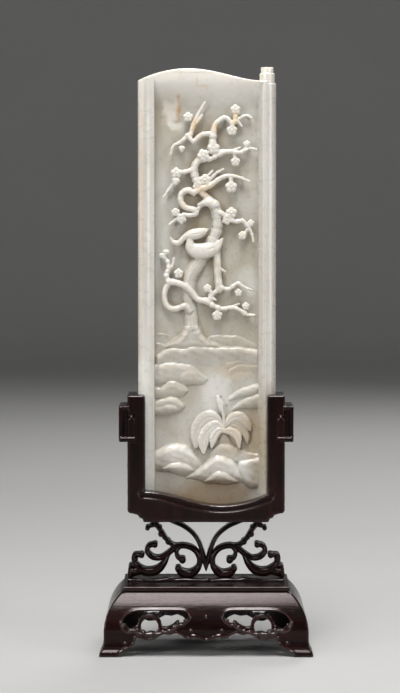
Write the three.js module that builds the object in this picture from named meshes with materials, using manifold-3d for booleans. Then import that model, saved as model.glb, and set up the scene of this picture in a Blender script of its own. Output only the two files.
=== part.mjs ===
// A jade plaque carved as a partly unrolled scroll, standing upright in its carved hardwood stand.
// Millimetres. X runs to the right, Y to the back and Z up; the origin lies under the middle of
// the four feet. Four pieces: the plaque, the U-shaped cradle that grips it, the openwork scroll
// support below the cradle, and the low table base.

import * as THREE from 'three';
import { mergeVertices } from 'three/addons/utils/BufferGeometryUtils.js';
import Module from 'manifold-3d';

const wasm = await Module();
wasm.setup();

// ---------------------------------------------------------------- driving dimensions

const FIT_GAP = 0.3;              // left between two pieces that touch
const THROUGH = 60;               // reach of a cut that goes right through a piece

// Plaque
const PLAQUE_CREST = 267;         // top of the wavy upper edge
const PLAQUE_DIP = 63.8;          // lowest point of the wavy lower edge
const PLAQUE_LEFT = -31.3;
const PLAQUE_HALF_THICK = 4.5;
const BORDER_WIDTH = 7.6;         // raised plain border on the left
const BORDER_CHAMFER = 1;
const GROUND_Y = -0.3;            // face of the recessed ground
const LIMB_ROOT = 0.9;            // how deep limbs and blossoms are rooted in the ground
const ROLLER_RADIUS = 4.15;
const ROLLER_X = 28;
const ROLLER_TOP = 259.6;
const COLLAR_RADIUS = 3.5;
const COLLAR_TOP = 264.2;
const KNOB_RADIUS = 2.9;
const CREST_X = -8;               // where the upper edge is highest
const DIP_X = 7;                  // where the lower edge is lowest

// Cradle
const CRADLE_HALF_WIDTH = 36;
const CRADLE_HALF_DEPTH = 14;
const CRADLE_TOP = 117.2;
const CRADLE_FLOOR = 59;          // flat underside
const CRADLE_MOUTH = 27.9;        // half the clear width between the arms
const LIP_RISE = 3.4;             // how far the lip stands above the plaque's lower edge
const LIP_WIDTH = 2.6;
const LIP_STEP = 0.9;
const EAR_REACH = 39.9;
const EAR_TOP = 112.3;
const EAR_BOTTOM = 96;
const EAR_HALF_DEPTH = 13;
const EAR_PROUD = 1.2;            // how far the ear's fret stands in front of the arm

// Base
const BASE_HALF_WIDTH = 46.4;
const BASE_HALF_DEPTH = 31;
const BOARD_TOP = 30.7;
const BOARD_INSET = 8.3;
const SHOULDER_TOP = 28.1;
const SHOULDER_FOOT = 12;         // where the upright apron begins to curve in
const APRON_WALL = 4.6;
const OPENING_TOP = 21;
const RING_X = 25.6;
const RING_Z = 13.6;
const RING_OUTER = 5.6;
const RING_INNER = 3.8;

// Scroll support
const SUPPORT_HALF_WIDTH = 36.4;
const SUPPORT_HALF_DEPTH = 5.5;
const SUPPORT_FOOT = BOARD_TOP + FIT_GAP;
const SUPPORT_HEAD = CRADLE_FLOOR - FIT_GAP;

const JADE = { color: 0xd8d6cb, roughness: 0.35, metalness: 0 };
const HARDWOOD = { color: 0x2c1512, roughness: 0.3, metalness: 0 };

// ---------------------------------------------------------------- solids and outlines

// A closed geometry as a solid that can be joined and cut.
function solid(geometry) {
  const bare = geometry.clone();
  bare.deleteAttribute('normal');
  bare.deleteAttribute('uv');
  const merged = mergeVertices(bare, 1e-4);
  return new wasm.Manifold(new wasm.Mesh({
    numProp: 3,
    vertProperties: new Float32Array(merged.attributes.position.array),
    triVerts: new Uint32Array(merged.index.array),
  }));
}

function join(solids) {
  return solids.reduce((whole, next) => whole.add(next));
}

function namedMesh(name, whole, look) {
  const { vertProperties, triVerts } = whole.getMesh();
  const geometry = new THREE.BufferGeometry();
  geometry.setAttribute('position', new THREE.BufferAttribute(vertProperties, 3));
  geometry.setIndex(new THREE.BufferAttribute(triVerts, 1));
  geometry.computeVertexNormals();
  const mesh = new THREE.Mesh(geometry, new THREE.MeshStandardMaterial(look));
  mesh.name = name;
  return mesh;
}

function extruded(outline, depth) {
  const shape = outline instanceof THREE.Shape ? outline : new THREE.Shape(outline.map(toVector));
  return new THREE.ExtrudeGeometry(shape, { depth, bevelEnabled: false, curveSegments: 6 });
}

// An outline drawn in X and Z, as a plate from yFront to yBack.
function plate(outline, yFront, yBack) {
  const geometry = extruded(outline, yBack - yFront);
  geometry.rotateX(Math.PI / 2);
  geometry.translate(0, yBack, 0);
  return solid(geometry);
}

// An outline drawn in Y and Z, as a bar from xLeft to xRight.
function bar(outline, xLeft, xRight) {
  const geometry = extruded(outline, xRight - xLeft);
  const [xAxis, yAxis, zAxis] = [0, 1, 2].map((k) => new THREE.Vector3().setComponent(k, 1));
  geometry.applyMatrix4(new THREE.Matrix4().makeBasis(yAxis, zAxis, xAxis));
  geometry.translate(xLeft, 0, 0);
  return solid(geometry);
}

function toVector([x, z]) {
  return new THREE.Vector2(x, z);
}

function box(xLeft, xRight, yFront, yBack, zLow, zHigh) {
  const geometry = new THREE.BoxGeometry(xRight - xLeft, yBack - yFront, zHigh - zLow);
  geometry.translate((xLeft + xRight) / 2, (yFront + yBack) / 2, (zLow + zHigh) / 2);
  return solid(geometry);
}

// A round bar along Y.
function disc(x, z, radius, yFront, yBack, sides = 16) {
  const geometry = new THREE.CylinderGeometry(radius, radius, yBack - yFront, sides);
  geometry.translate(x, (yFront + yBack) / 2, z);
  return solid(geometry);
}

function mirrored(whole) {
  const { vertProperties, triVerts } = whole.getMesh();
  const geometry = new THREE.BufferGeometry();
  geometry.setAttribute('position', new THREE.BufferAttribute(vertProperties.map(
    (value, i) => (i % 3 === 0 ? -value : value)), 3));
  geometry.setIndex(new THREE.BufferAttribute(triVerts.map(
    (_, i) => triVerts[i - (i % 3) + (2 - (i % 3))]), 1));
  return solid(geometry);
}

function withMirror(whole) {
  return whole.add(mirrored(whole));
}

function smoothPath(points) {
  return new THREE.CatmullRomCurve3(points.map(([x, z]) => new THREE.Vector3(x, 0, z)));
}

// The value at t, from 0 to 1, of a list of evenly spaced values.
function between(values, t) {
  const place = t * (values.length - 1);
  const low = Math.min(Math.floor(place), values.length - 2);
  return THREE.MathUtils.lerp(values[low], values[low + 1], place - low);
}

// A carved band: a stroke of changing width along a smooth path, cut right through the panel.
function band(points, widths, halfDepth, steps = points.length * 2) {
  const path = smoothPath(points);
  const left = [];
  const right = [];
  for (let i = 0; i <= steps; i++) {
    const t = i / steps;
    const at = path.getPointAt(t);
    const along = path.getTangentAt(t);
    const half = between(widths, t) / 2;
    left.push([at.x - along.z * half, at.z + along.x * half]);
    right.unshift([at.x + along.z * half, at.z - along.x * half]);
  }
  return plate([...left, ...right], -halfDepth, halfDepth);
}

function arcPoints(x, z, radius, fromDegrees, toDegrees, steps) {
  return Array.from({ length: steps + 1 }, (_, i) => {
    const angle = THREE.MathUtils.degToRad(THREE.MathUtils.lerp(fromDegrees, toDegrees, i / steps));
    return [x + radius * Math.cos(angle), z + radius * Math.sin(angle)];
  });
}

// A limb that follows a path over the ground, tapering from one radius to the other. Its back is
// sunk in the ground, so that its sides stand upright and nothing is undercut.
function limb(points, startRadius, endRadius, { rise = 0.5, flat = 1, sides = 6 } = {}) {
  const path = smoothPath(points);
  const steps = Math.max(1, Math.round((points.length - 1) * 1.3));
  const turn = sides === 4 ? Math.PI / 4 : 0;
  const geometry = new THREE.CylinderGeometry(1, 1, 1, sides, steps, false, turn);
  const place = geometry.attributes.position;
  for (let i = 0; i < place.count; i++) {
    const t = THREE.MathUtils.clamp(place.getY(i) + 0.5, 0, 1);
    const at = path.getPointAt(t);
    const along = path.getTangentAt(t);
    const radius = THREE.MathUtils.lerp(startRadius, endRadius, t);
    const across = place.getX(i) * radius;
    const face = place.getZ(i) * radius * flat - radius * rise;
    const depth = place.getZ(i) > -0.01 ? LIMB_ROOT : face;
    place.setXYZ(i, at.x - along.z * across, GROUND_Y + depth, at.z + along.x * across);
  }
  return solid(geometry);
}

// A rounded boulder, hill or bird's body, half sunk in the ground.
function mound(x, z, halfWidth, halfHeight, proud, turnDegrees = 0, sides = 8) {
  const geometry = new THREE.SphereGeometry(1, sides, 5);
  geometry.scale(halfWidth, proud, halfHeight);
  geometry.rotateY(THREE.MathUtils.degToRad(turnDegrees));
  geometry.translate(x, GROUND_Y, z);
  return solid(geometry);
}

// ---------------------------------------------------------------- the plaque

// How far the wavy edge falls away from its crest: a gentle bow on the short side and a long
// reverse curve on the other. The lower edge is the same curve turned half round.
function edgeFall(u) {
  const bow = 0.011 * u * u;
  const sweep = 3.25 * (1 - Math.cos(Math.PI * Math.min(u, 36) / 36));
  return u < 0 ? bow : sweep;
}

const upperEdge = (x) => PLAQUE_CREST - edgeFall(x - CREST_X);
const lowerEdge = (x) => PLAQUE_DIP + edgeFall(DIP_X - x);

function edgeRun(edge, xFrom, xTo, lift, steps = 14) {
  return Array.from({ length: steps + 1 }, (_, i) => {
    const x = THREE.MathUtils.lerp(xFrom, xTo, i / steps);
    return [x, edge(x) + lift];
  });
}

function slab() {
  const right = ROLLER_X;
  const wavy = plate([
    ...edgeRun(lowerEdge, PLAQUE_LEFT, right, 0),
    ...edgeRun(upperEdge, right, PLAQUE_LEFT, 0),
  ], -PLAQUE_HALF_THICK, PLAQUE_HALF_THICK);
  const groundLeft = PLAQUE_LEFT + BORDER_WIDTH;
  const coveStart = upperEdge(right) - 2.5;
  const recess = bar([
    [-PLAQUE_HALF_THICK - 1, 0],
    [GROUND_Y, 0],
    [GROUND_Y, coveStart - 7],
    [-1.6, coveStart - 3],
    [-PLAQUE_HALF_THICK - 1, coveStart + 3],
  ], groundLeft, right);
  return wavy.subtract(recess).subtract(cornerCut());
}

// A square rod, set corner-wise, that takes the front corner off the left border.
function cornerCut() {
  const side = BORDER_CHAMFER * Math.SQRT2;
  const geometry = new THREE.BoxGeometry(side, side, 2 * PLAQUE_CREST);
  geometry.rotateZ(Math.PI / 4);
  geometry.translate(PLAQUE_LEFT, -PLAQUE_HALF_THICK, PLAQUE_CREST / 2);
  return solid(geometry);
}

function upright(radius, zLow, zHigh, sides = 16) {
  const geometry = new THREE.CylinderGeometry(radius, radius, zHigh - zLow, sides);
  geometry.rotateX(Math.PI / 2);
  geometry.translate(ROLLER_X, 0, (zLow + zHigh) / 2);
  return solid(geometry);
}

// The roller's lower end is cut along the wavy edge of the slab.
function roller() {
  const right = ROLLER_X + ROLLER_RADIUS;
  const left = ROLLER_X - ROLLER_RADIUS;
  const below = plate([[left, 0], [right, 0], ...edgeRun(lowerEdge, right, left, 0, 6)], -THROUGH, THROUGH);
  return join([
    upright(ROLLER_RADIUS, PLAQUE_DIP, ROLLER_TOP),
    upright(COLLAR_RADIUS, ROLLER_TOP - 1, COLLAR_TOP),
    upright(KNOB_RADIUS, COLLAR_TOP - 1, PLAQUE_CREST),
  ]).subtract(below);
}

// A five-petalled blossom, rooted a little below the ground.
function blossom([x, z, radius]) {
  const proud = 3.6;
  const profile = [
    [0, -proud], [radius * 0.6, -proud], [radius, -proud * 0.75], [radius, LIMB_ROOT], [0, LIMB_ROOT],
  ];
  const geometry = new THREE.LatheGeometry(profile.map(([r, y]) => new THREE.Vector2(r, y)), 10);
  const place = geometry.attributes.position;
  for (let i = 0; i < place.count; i++) {
    const angle = Math.atan2(place.getZ(i), place.getX(i));
    const petal = 1 + 0.1 * Math.cos(5 * angle);
    place.setXYZ(i, place.getX(i) * petal, place.getY(i), place.getZ(i) * petal);
  }
  geometry.translate(x, GROUND_Y, z);
  return solid(geometry);
}

// Blossom centres and radii.
const BLOSSOMS = [
  [-8, 244.2, 2.4], [-11.2, 229.6, 1.6], [11.7, 238.3, 2.5], [13.4, 247.4, 2.2], [3.6, 229.7, 2.6],
  [-1, 226.5, 2.6], [18.6, 231.9, 1.6], [13.4, 223.8, 2.2], [-13.9, 217.6, 2.7], [-2.2, 214.2, 3.4],
  [11.5, 212.5, 2.7], [-12.3, 199, 3.2], [10.7, 199, 3], [20.5, 195.7, 1.7], [16.9, 189.9, 1.8],
  [-18.7, 181.7, 2], [-12.4, 172.2, 2.1], [0.9, 165.8, 1.9], [5.1, 153.1, 2.2], [18.1, 157.2, 1.8],
  [15, 163.4, 1.6],
];

// Trunks of the prunus, with their radii.
const TRUNKS = [
  [[[0.5, 182], [-4.6, 175.6], [-8, 169], [-7.6, 160], [-6.6, 150], [-6.4, 143], [-5.5, 137]], 3.4, 4.2],
  [[[-4, 210.6], [0, 206.6], [4, 202.5], [5, 197], [4.8, 191], [2.6, 186.5]], 2, 3],
  [[[3.5, 205.5], [0.5, 206.4], [-3.2, 204.9]], 2.2, 0.8],
  [[[4.6, 184], [5.3, 174], [5.6, 165.2]], 2, 1.9],
  [[[0.6, 225.4], [-5.2, 223.6], [-5.6, 219.6], [-4.8, 216], [-3, 211]], 1.4, 1.9],
  [[[-6.6, 146], [-9, 140.5], [-11.5, 137.5]], 3, 2],
  [[[-6, 146], [-2, 140.5], [4.6, 138.5]], 3, 1.2],
];

// Branches, with their radii at the root and the tip.
const BRANCHES = [
  [[[-7.5, 235.8], [-5.5, 241.9], [-0.6, 250.8]], 1.1, 0.6],
  [[[-5.5, 241.9], [-1.7, 244.7]], 0.9, 0.6],
  [[[3.4, 236.6], [-2.2, 236.1], [-6, 233.1], [-8.9, 235.7]], 1.1, 1],
  [[[-8.3, 235.7], [-12.3, 232.4], [-15, 231.1], [-16, 227.7]], 0.9, 0.6],
  [[[3.1, 229], [3.2, 237], [4.6, 241.2], [8.3, 243.9], [11, 242.2], [11.7, 238.3]], 1.5, 0.9],
  [[[13.4, 247.4], [13.1, 241.9], [11.9, 238]], 0.9, 0.9],
  [[[13.5, 242], [15.7, 243.9], [20.6, 244.2]], 0.8, 0.6],
  [[[3.2, 228.5], [6.3, 228.4], [14.7, 229.4], [17.4, 228.7], [22.8, 229.6]], 1.4, 0.6],
  [[[17.4, 228.7], [18.6, 231.9]], 0.7, 0.7],
  [[[12, 228.8], [13.4, 223.8]], 0.8, 0.8],
  [[[-5.5, 220.7], [-11.3, 218.3], [-15, 214], [-19.4, 207.9]], 1.2, 0.6],
  [[[-1.4, 216.1], [2.6, 219.3]], 0.9, 0.7],
  [[[1.4, 215.2], [7.6, 220.3]], 0.9, 0.6],
  [[[-1.4, 212], [1.2, 212.9], [8.3, 217.6], [13, 216.9], [19.5, 215.2]], 1.4, 0.6],
  [[[11, 217], [11.5, 212.5]], 0.8, 0.8],
  [[[-4.1, 210.6], [-6.2, 209.4], [-9.6, 210.5], [-11.6, 206.4], [-9.9, 203.1], [-5.5, 201.7]], 1.2, 1.1],
  [[[-5.5, 201.7], [-4.2, 199.4], [-9.2, 199.1]], 1.2, 1],
  [[[-12.4, 198.6], [-16.7, 195.3]], 0.8, 0.6],
  [[[5, 201], [10.7, 199], [14, 196.3], [19.1, 193.6], [21.5, 187.6]], 1.3, 0.6],
  [[[19.3, 193.1], [16.9, 189.9]], 0.7, 0.7],
  [[[-18.7, 181.7], [-17.3, 177.9], [-18, 172], [-16.8, 168.5]], 1, 1.3],
  [[[-16.6, 175.2], [-14.8, 179.3]], 0.9, 0.6],
  [[[-17, 168.5], [-10.6, 166.8], [-4.8, 161.4], [3.6, 157.7], [12, 156.7], [17, 154.5], [22, 153.8]],
    1.6, 0.7],
  [[[0.9, 159.5], [3.6, 161.4], [1, 165.5]], 0.8, 0.8],
  [[[5.1, 157], [5.1, 153.5]], 0.8, 0.8],
  [[[-17, 168], [-18.9, 164], [-18.8, 159.4], [-16, 156.8], [-8, 156.4]], 1.1, 1.5],
  [[[6.4, 166.9], [10.7, 166.5], [14.4, 168.1], [20.5, 165]], 1, 0.6],
  [[[7, 166], [3.6, 163.1], [1, 161]], 0.9, 0.8],
];

function bird() {
  return join([
    mound(-0.6, 184.2, 6.6, 3.9, 4, -6, 10),
    limb([[-5.6, 184], [-7, 187.5], [-5.4, 190.4], [-2, 192.2], [0.2, 192]], 1.9, 1.1, { rise: 1.2 }),
    limb([[-6, 189.8], [-10.1, 188.8], [-13, 186.6], [-16, 188.4]], 1.5, 0.8, { rise: 1 }),
  ]);
}

// Shores, rocks and hills: centre, half width, half height, how proud, and turn in degrees.
const MOUNDS = [
  [12, 139, 9.6, 4.4, 1.6, 3],
  [-1, 134.6, 22, 4, 3, 0],
  [11, 133.5, 11, 4.4, 2.6, -2],
  [-13.6, 127.4, 10, 3.6, 2.6, 6],
  [-6, 125.6, 7.4, 4, 2.4, 22],
  [-16, 117.6, 7, 4.4, 2, 0],
  [-17, 112, 6.2, 3.2, 2.4, 0],
  [17.2, 116.6, 7, 2, 2, -24],
  [18.4, 112, 6.6, 2.2, 2.2, -22],
  [14, 88.6, 9, 4.4, 2.4, 4],
  [-13, 85.4, 10.6, 7.8, 3.6, 8],
  [-13, 80.6, 8, 3.4, 4.2, 3],
  [4, 79.6, 12.4, 8.2, 3.8, 0],
  [5.6, 77.6, 7.8, 3.6, 4.4, 0],
  [18, 79.6, 4.6, 6.2, 3, 0],
];

// Leaves of the plantain, each drooping from the crown.
const LEAVES = [
  [[8.2, 102.1], [3.1, 106.2], [-2.2, 103.4], [-4.6, 96.5]],
  [[8.2, 102.1], [3.4, 102.6], [0, 97.4], [0.2, 89.6]],
  [[8.2, 102.1], [10.8, 106.6], [15.6, 107.6], [20, 102.2]],
  [[8.2, 102.1], [14, 103.4], [18.4, 100.4], [19.6, 95.4]],
  [[8.2, 102.1], [12, 99.3], [14.5, 92.1]],
];

function plantain() {
  const leaves = LEAVES.map((points) => limb(points, 2.2, 1, { rise: 0.9 }));
  const stem = limb([[8.2, 102], [8, 107], [6.6, 111]], 0.9, 0.8, { rise: 1.2 });
  const bud = mound(6, 112.6, 1.8, 3, 2.6, -14, 8);
  const foot = mound(8.4, 96, 4.4, 6, 2.4, 0, 8);
  return join([...leaves, stem, bud, foot]);
}

function jadePlaque() {
  const relief = join([
    ...TRUNKS.map(([points, from, to]) => limb(points, from, to, { rise: 0.35, flat: 0.6 })),
    ...BRANCHES.map(([points, from, to]) => limb(points, from, to, { rise: 1, flat: 1.2, sides: 4 })),
    ...BLOSSOMS.map(blossom),
    ...MOUNDS.map((sizes) => mound(...sizes)),
    bird(),
    plantain(),
  ]);
  return join([slab(), roller(), relief]);
}

// ---------------------------------------------------------------- the cradle

const lipEdge = (x) => lowerEdge(x) + LIP_RISE;

function cradleBody() {
  const corner = [
    [-CRADLE_HALF_WIDTH, CRADLE_TOP],
    [-CRADLE_HALF_WIDTH, CRADLE_FLOOR + 5],
    [-CRADLE_HALF_WIDTH + 1, CRADLE_FLOOR + 4.1],
    [-CRADLE_HALF_WIDTH + 5.6, CRADLE_FLOOR + 2.8],
    [-CRADLE_HALF_WIDTH + 7.4, CRADLE_FLOOR],
  ];
  const opposite = corner.map(([x, z]) => [-x, z]).reverse();
  return plate([...corner, ...opposite], -CRADLE_HALF_DEPTH, CRADLE_HALF_DEPTH);
}

// The clear mouth between the arms, widened by a margin all round.
function mouth(margin, yFront, yBack) {
  const half = CRADLE_MOUTH + margin;
  return plate([
    ...edgeRun(lipEdge, -half, half, -margin),
    [half, CRADLE_TOP + 5],
    [-half, CRADLE_TOP + 5],
  ], yFront, yBack);
}

function plaqueGroove() {
  const left = PLAQUE_LEFT - FIT_GAP;
  const right = ROLLER_X + ROLLER_RADIUS + FIT_GAP;
  const half = PLAQUE_HALF_THICK + FIT_GAP;
  return plate([
    ...edgeRun(lowerEdge, left, right, -FIT_GAP),
    [right, CRADLE_TOP + 5],
    [left, CRADLE_TOP + 5],
  ], -half, half);
}

// A fretted ear: an outer post, a ledge below, and a rounded tongue on the face of the arm.
function ear() {
  const front = -CRADLE_HALF_DEPTH - EAR_PROUD;
  const armSide = -CRADLE_HALF_WIDTH;
  const tongue = new THREE.Shape();
  tongue.moveTo(armSide - 1, EAR_BOTTOM);
  tongue.lineTo(armSide + 3.6, EAR_BOTTOM);
  tongue.lineTo(armSide + 3.6, EAR_TOP - 6);
  tongue.absarc(armSide + 2, EAR_TOP - 6, 1.6, 0, Math.PI, false);
  tongue.lineTo(armSide + 0.4, EAR_BOTTOM + 4);
  tongue.lineTo(armSide - 1, EAR_BOTTOM + 4);
  return join([
    box(-EAR_REACH, armSide + 0.5, -EAR_HALF_DEPTH, EAR_HALF_DEPTH, EAR_BOTTOM, EAR_TOP),
    box(-EAR_REACH, -EAR_REACH + 2, front, -EAR_HALF_DEPTH + 1, EAR_BOTTOM, EAR_TOP),
    box(-EAR_REACH, armSide + 3.6, front - 0.8, -CRADLE_HALF_DEPTH + 1, EAR_BOTTOM, EAR_BOTTOM + 2),
    plate(tongue, front, -CRADLE_HALF_DEPTH + 1),
  ]);
}

function standCradle() {
  const depth = CRADLE_HALF_DEPTH;
  return join([cradleBody(), withMirror(ear())])
    .subtract(mouth(0, -THROUGH, THROUGH))
    .subtract(mouth(LIP_WIDTH, -depth - 1, -depth + LIP_STEP))
    .subtract(mouth(LIP_WIDTH, depth - LIP_STEP, depth + 1))
    .subtract(plaqueGroove());
}

// ---------------------------------------------------------------- the scroll support

// The left half of the panel; the right half mirrors it.
function scrollHalf() {
  const depth = SUPPORT_HALF_DEPTH;
  const head = SUPPORT_HEAD;
  const foot = SUPPORT_FOOT;
  const ring = { x: -9.2, z: foot + 8.2, radius: 6.3 };
  const ringPath = arcPoints(ring.x, ring.z, ring.radius, 108, -148, 18);
  const archPath = [
    [-18, head - 0.8], [-13.5, head - 1.6], [-8.6, head - 4], [-4.4, head - 8],
    [-2, head - 13], [-1.2, head - 18], [-0.6, head - 23.5],
  ];
  const sPath = [
    [-10, 46.6], [-14.2, 46.2], [-17.4, 43.4], [-20.6, 41.6], [-24.4, 41.8], [-27, 44.2],
    [-26.2, 47], [-23.6, 47.6],
  ];
  const leafStemPath = [[-13.6, 46.8], [-17.3, 48.8], [-20.3, 52], [-22.4, 55.6], [-26.6, head - 0.6]];
  const lowerLeafPath = [
    [-16.4, 42.6], [-19.4, 38.6], [-23, 35.2], [-27.6, 34.2], [-31, 36.2], [-33.2, 39.2],
    [-33.4, 42.2], [-30, 42.4],
  ];
  return join([
    band(archPath, [1.8, 2, 2, 2.2, 2.6, 2.8, 1.6], depth),
    band(ringPath, [2, 2.2, 2.4, 2.6, 3, 3.2, 2.2], depth, 18),
    band(sPath, [2.2, 2.6, 2.4, 2.2, 2.2, 2], depth, 15),
    band(leafStemPath, [2.4, 3.4, 3.8, 4, 5], depth, 10),
    band(lowerLeafPath, [1.6, 2.8, 4, 4.2, 3, 2.4, 2], depth, 15),
    band([[-13.4, 46], [-13.8, 42.6], [-11.4, 40.6]], [2, 2.2, 2.2], depth - 1, 5),
    disc(-11.4, 40.6, 1.7, -depth, depth, 10),
    disc(-13.4, 36.2, 1.5, -depth, depth, 10),
    disc(-34, 34.2, 2.4, -depth, depth, 12),
    box(-SUPPORT_HALF_WIDTH, 0.01, -depth, depth, foot, foot + 1.6),
  ]).intersect(box(-SUPPORT_HALF_WIDTH, 0.5, -depth, depth, foot, head));
}

// ---------------------------------------------------------------- the base

// A block whose half width and half depth change with height: each level is [z, outset], and the
// outset is measured from the base's upright faces.
function profiledBlock(levels) {
  const last = levels.length - 1;
  const geometry = new THREE.BoxGeometry(2, 2, 1, 1, 1, last);
  const place = geometry.attributes.position;
  for (let i = 0; i < place.count; i++) {
    const [z, outset] = levels[Math.round((place.getZ(i) + 0.5) * last)];
    place.setXYZ(
      i,
      place.getX(i) * (BASE_HALF_WIDTH + outset),
      place.getY(i) * (BASE_HALF_DEPTH + outset),
      z,
    );
  }
  return solid(geometry);
}

// Feet that flare out, upright aprons, a shoulder that curves up from them and then leans in at
// about 45 degrees, and a stepped top board.
function baseBlock() {
  const shoulder = new THREE.QuadraticBezierCurve(
    new THREE.Vector2(0, SHOULDER_FOOT),
    new THREE.Vector2(-1, SHOULDER_FOOT + 0.6 * (SHOULDER_TOP - SHOULDER_FOOT)),
    new THREE.Vector2(0.5 - BOARD_INSET, SHOULDER_TOP),
  );
  const shoulderLevels = shoulder.getPoints(6).map(({ x, y }) => [y, x]);
  return join([
    profiledBlock([[0, 2], [1.4, 1.9], [3.6, 0.3], [6, 0], ...shoulderLevels]),
    profiledBlock([[SHOULDER_TOP - 2, -BOARD_INSET - 0.7], [SHOULDER_TOP + 0.7, -BOARD_INSET - 0.7]]),
    profiledBlock([[SHOULDER_TOP + 0.6, -BOARD_INSET], [BOARD_TOP, -BOARD_INSET]]),
  ]);
}

function underside() {
  return profiledBlock([
    [-1, -APRON_WALL], [18, -APRON_WALL], [22, -APRON_WALL - 2], [24, -APRON_WALL - 6],
  ]);
}

// The open space below an apron. The run goes from a foot's toe to the middle of the cusped drop.
function underApron(run) {
  return [...run, ...run.map(([x, z]) => [-x, z]).reverse()];
}

const FRONT_RUN = [
  [39.3, -1], [39, 1.4], [35.8, 3.4], [32.4, 5.8], [31.2, 8.6], [27.5, 8], [23, 8.4], [19.3, 10],
  [13.5, 10.6], [9.6, 9.2], [8, 8.8], [5.8, 9.2], [3, 8.2], [0.4, 7],
];

const SIDE_RUN = [
  [24, -1], [23.6, 1.4], [20.6, 3.4], [17.6, 5.8], [16, 9.4], [12, 12], [7, 12], [4, 10], [0.4, 8.6],
];

// One pierced opening of the front apron, with its hanging ring left standing.
function frontOpening() {
  const outline = new THREE.Shape([
    [35.2, 11.4], [37, 14.6], [35.6, 18.6], [32, OPENING_TOP], [10, OPENING_TOP], [8.2, 19.2], [8.6, 16.6],
    [10.8, 14.9], [13, 14.4], [15, 13], [18, 12.2], [21, 11.6], [29, 11.2], [32, 11.8],
  ].map(toVector));
  return plate(outline, -THROUGH, THROUGH)
    .subtract(disc(RING_X, RING_Z, RING_OUTER, -THROUGH, THROUGH, 16))
    .add(disc(RING_X, RING_Z, RING_INNER, -THROUGH, THROUGH, 12));
}

function standBase() {
  const turned = (outline) => bar(outline, -THROUGH, THROUGH);
  return baseBlock()
    .subtract(underside())
    .subtract(plate(underApron(FRONT_RUN), -THROUGH, THROUGH))
    .subtract(turned(underApron(SIDE_RUN)))
    .subtract(withMirror(frontOpening()));
}

// ---------------------------------------------------------------- the whole object

const plaqueInStand = new THREE.Group();
plaqueInStand.add(
  namedMesh('jade_plaque', jadePlaque(), JADE),
  namedMesh('stand_cradle', standCradle(), HARDWOOD),
  namedMesh('scroll_support', withMirror(scrollHalf()), HARDWOOD),
  namedMesh('stand_base', standBase(), HARDWOOD),
);

export default plaqueInStand;
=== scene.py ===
"""Looks of a jade scroll plaque that stands in its carved hardwood stand.

Each piece is carved as a solid of signed distances on an even grid, in millimetres, and then
skinned as one closed mesh in metres. X runs to the right, Y to the back and Z up, as in the frame.
"""

import logging
import math
from dataclasses import dataclass, field
from enum import Enum
from itertools import product
from typing import Callable, Iterable, Sequence

import bpy
import numpy as np
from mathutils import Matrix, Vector


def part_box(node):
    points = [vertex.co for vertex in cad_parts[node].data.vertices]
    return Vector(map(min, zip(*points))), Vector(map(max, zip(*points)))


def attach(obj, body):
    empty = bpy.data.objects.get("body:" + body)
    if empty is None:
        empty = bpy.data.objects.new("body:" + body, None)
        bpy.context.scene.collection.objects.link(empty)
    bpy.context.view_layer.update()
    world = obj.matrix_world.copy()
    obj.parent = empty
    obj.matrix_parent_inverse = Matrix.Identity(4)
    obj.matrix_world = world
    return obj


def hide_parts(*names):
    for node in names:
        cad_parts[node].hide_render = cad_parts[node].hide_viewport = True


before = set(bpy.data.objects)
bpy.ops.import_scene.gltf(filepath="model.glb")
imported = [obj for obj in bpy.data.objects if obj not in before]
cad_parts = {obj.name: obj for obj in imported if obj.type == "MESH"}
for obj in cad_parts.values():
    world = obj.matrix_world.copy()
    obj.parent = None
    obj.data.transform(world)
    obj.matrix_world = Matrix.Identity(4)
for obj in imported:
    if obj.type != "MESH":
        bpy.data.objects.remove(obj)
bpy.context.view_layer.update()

Array = np.ndarray
Point = tuple[float, ...]
Route = Sequence[Point]
Colour = tuple[float, float, float]
Distance = Callable[[Array, Array, Array], Array]
Socket = bpy.types.NodeSocket
Node = bpy.types.Node
Tree = bpy.types.NodeTree
Piece = bpy.types.Object
Material = bpy.types.Material

BODY = "root"
MM = 0.001
FAR = 40.0
TINY = 1e-9
TRIANGLE_LIMIT = 190_000
HOLLOW_STEPS = (0.35, 0.7, 1.0)
RIDGE_SHARE = 0.4
BLUR_PASSES = 3

PLAIN_BORDER_END = -23.0
ROLLER_START = 23.6
COVE_START = 254.0

log = logging.getLogger("jade_plaque")


# ---- outlines and routes


def smooth_route(points: Route, per_span: int = 4, closed: bool = False) -> Array:
    """Runs a smooth curve through given points.

    Args:
        points: The points, each with any number of values, such as x, z and a radius.
        per_span: How many steps each span between two points is cut into.
        closed: Whether the curve comes back to its first point.

    Returns:
        One row for each point of the curve.
    """
    knots = np.array(points, float)
    if closed:
        padded = np.vstack([knots[-1], knots, knots[:2]])
    else:
        padded = np.vstack([2 * knots[0] - knots[1], knots, 2 * knots[-1] - knots[-2]])
    t = (np.arange(per_span) / per_span)[:, None]
    spans = []
    for a, b, c, d in zip(padded, padded[1:], padded[2:], padded[3:]):
        bend = (c - a) * t + (2 * a - 5 * b + 4 * c - d) * t**2 + (3 * b - a - 3 * c + d) * t**3
        spans.append(b + bend / 2)
    if not closed:
        spans.append(knots[-1:])
    return np.vstack(spans)


def mirror_in_x(points: Route) -> list[Point]:
    """The same points on the other side of the middle, in reverse order."""
    return [(-p[0], *p[1:]) for p in reversed(points)]


def share_along(u: Array, v: Array, run: float, rise: float) -> Array:
    """How far along a straight span points lie, from 0 at its start to 1 at its end."""
    return np.clip((u * run + v * rise) / max(run**2 + rise**2, TINY), 0, 1)


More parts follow.
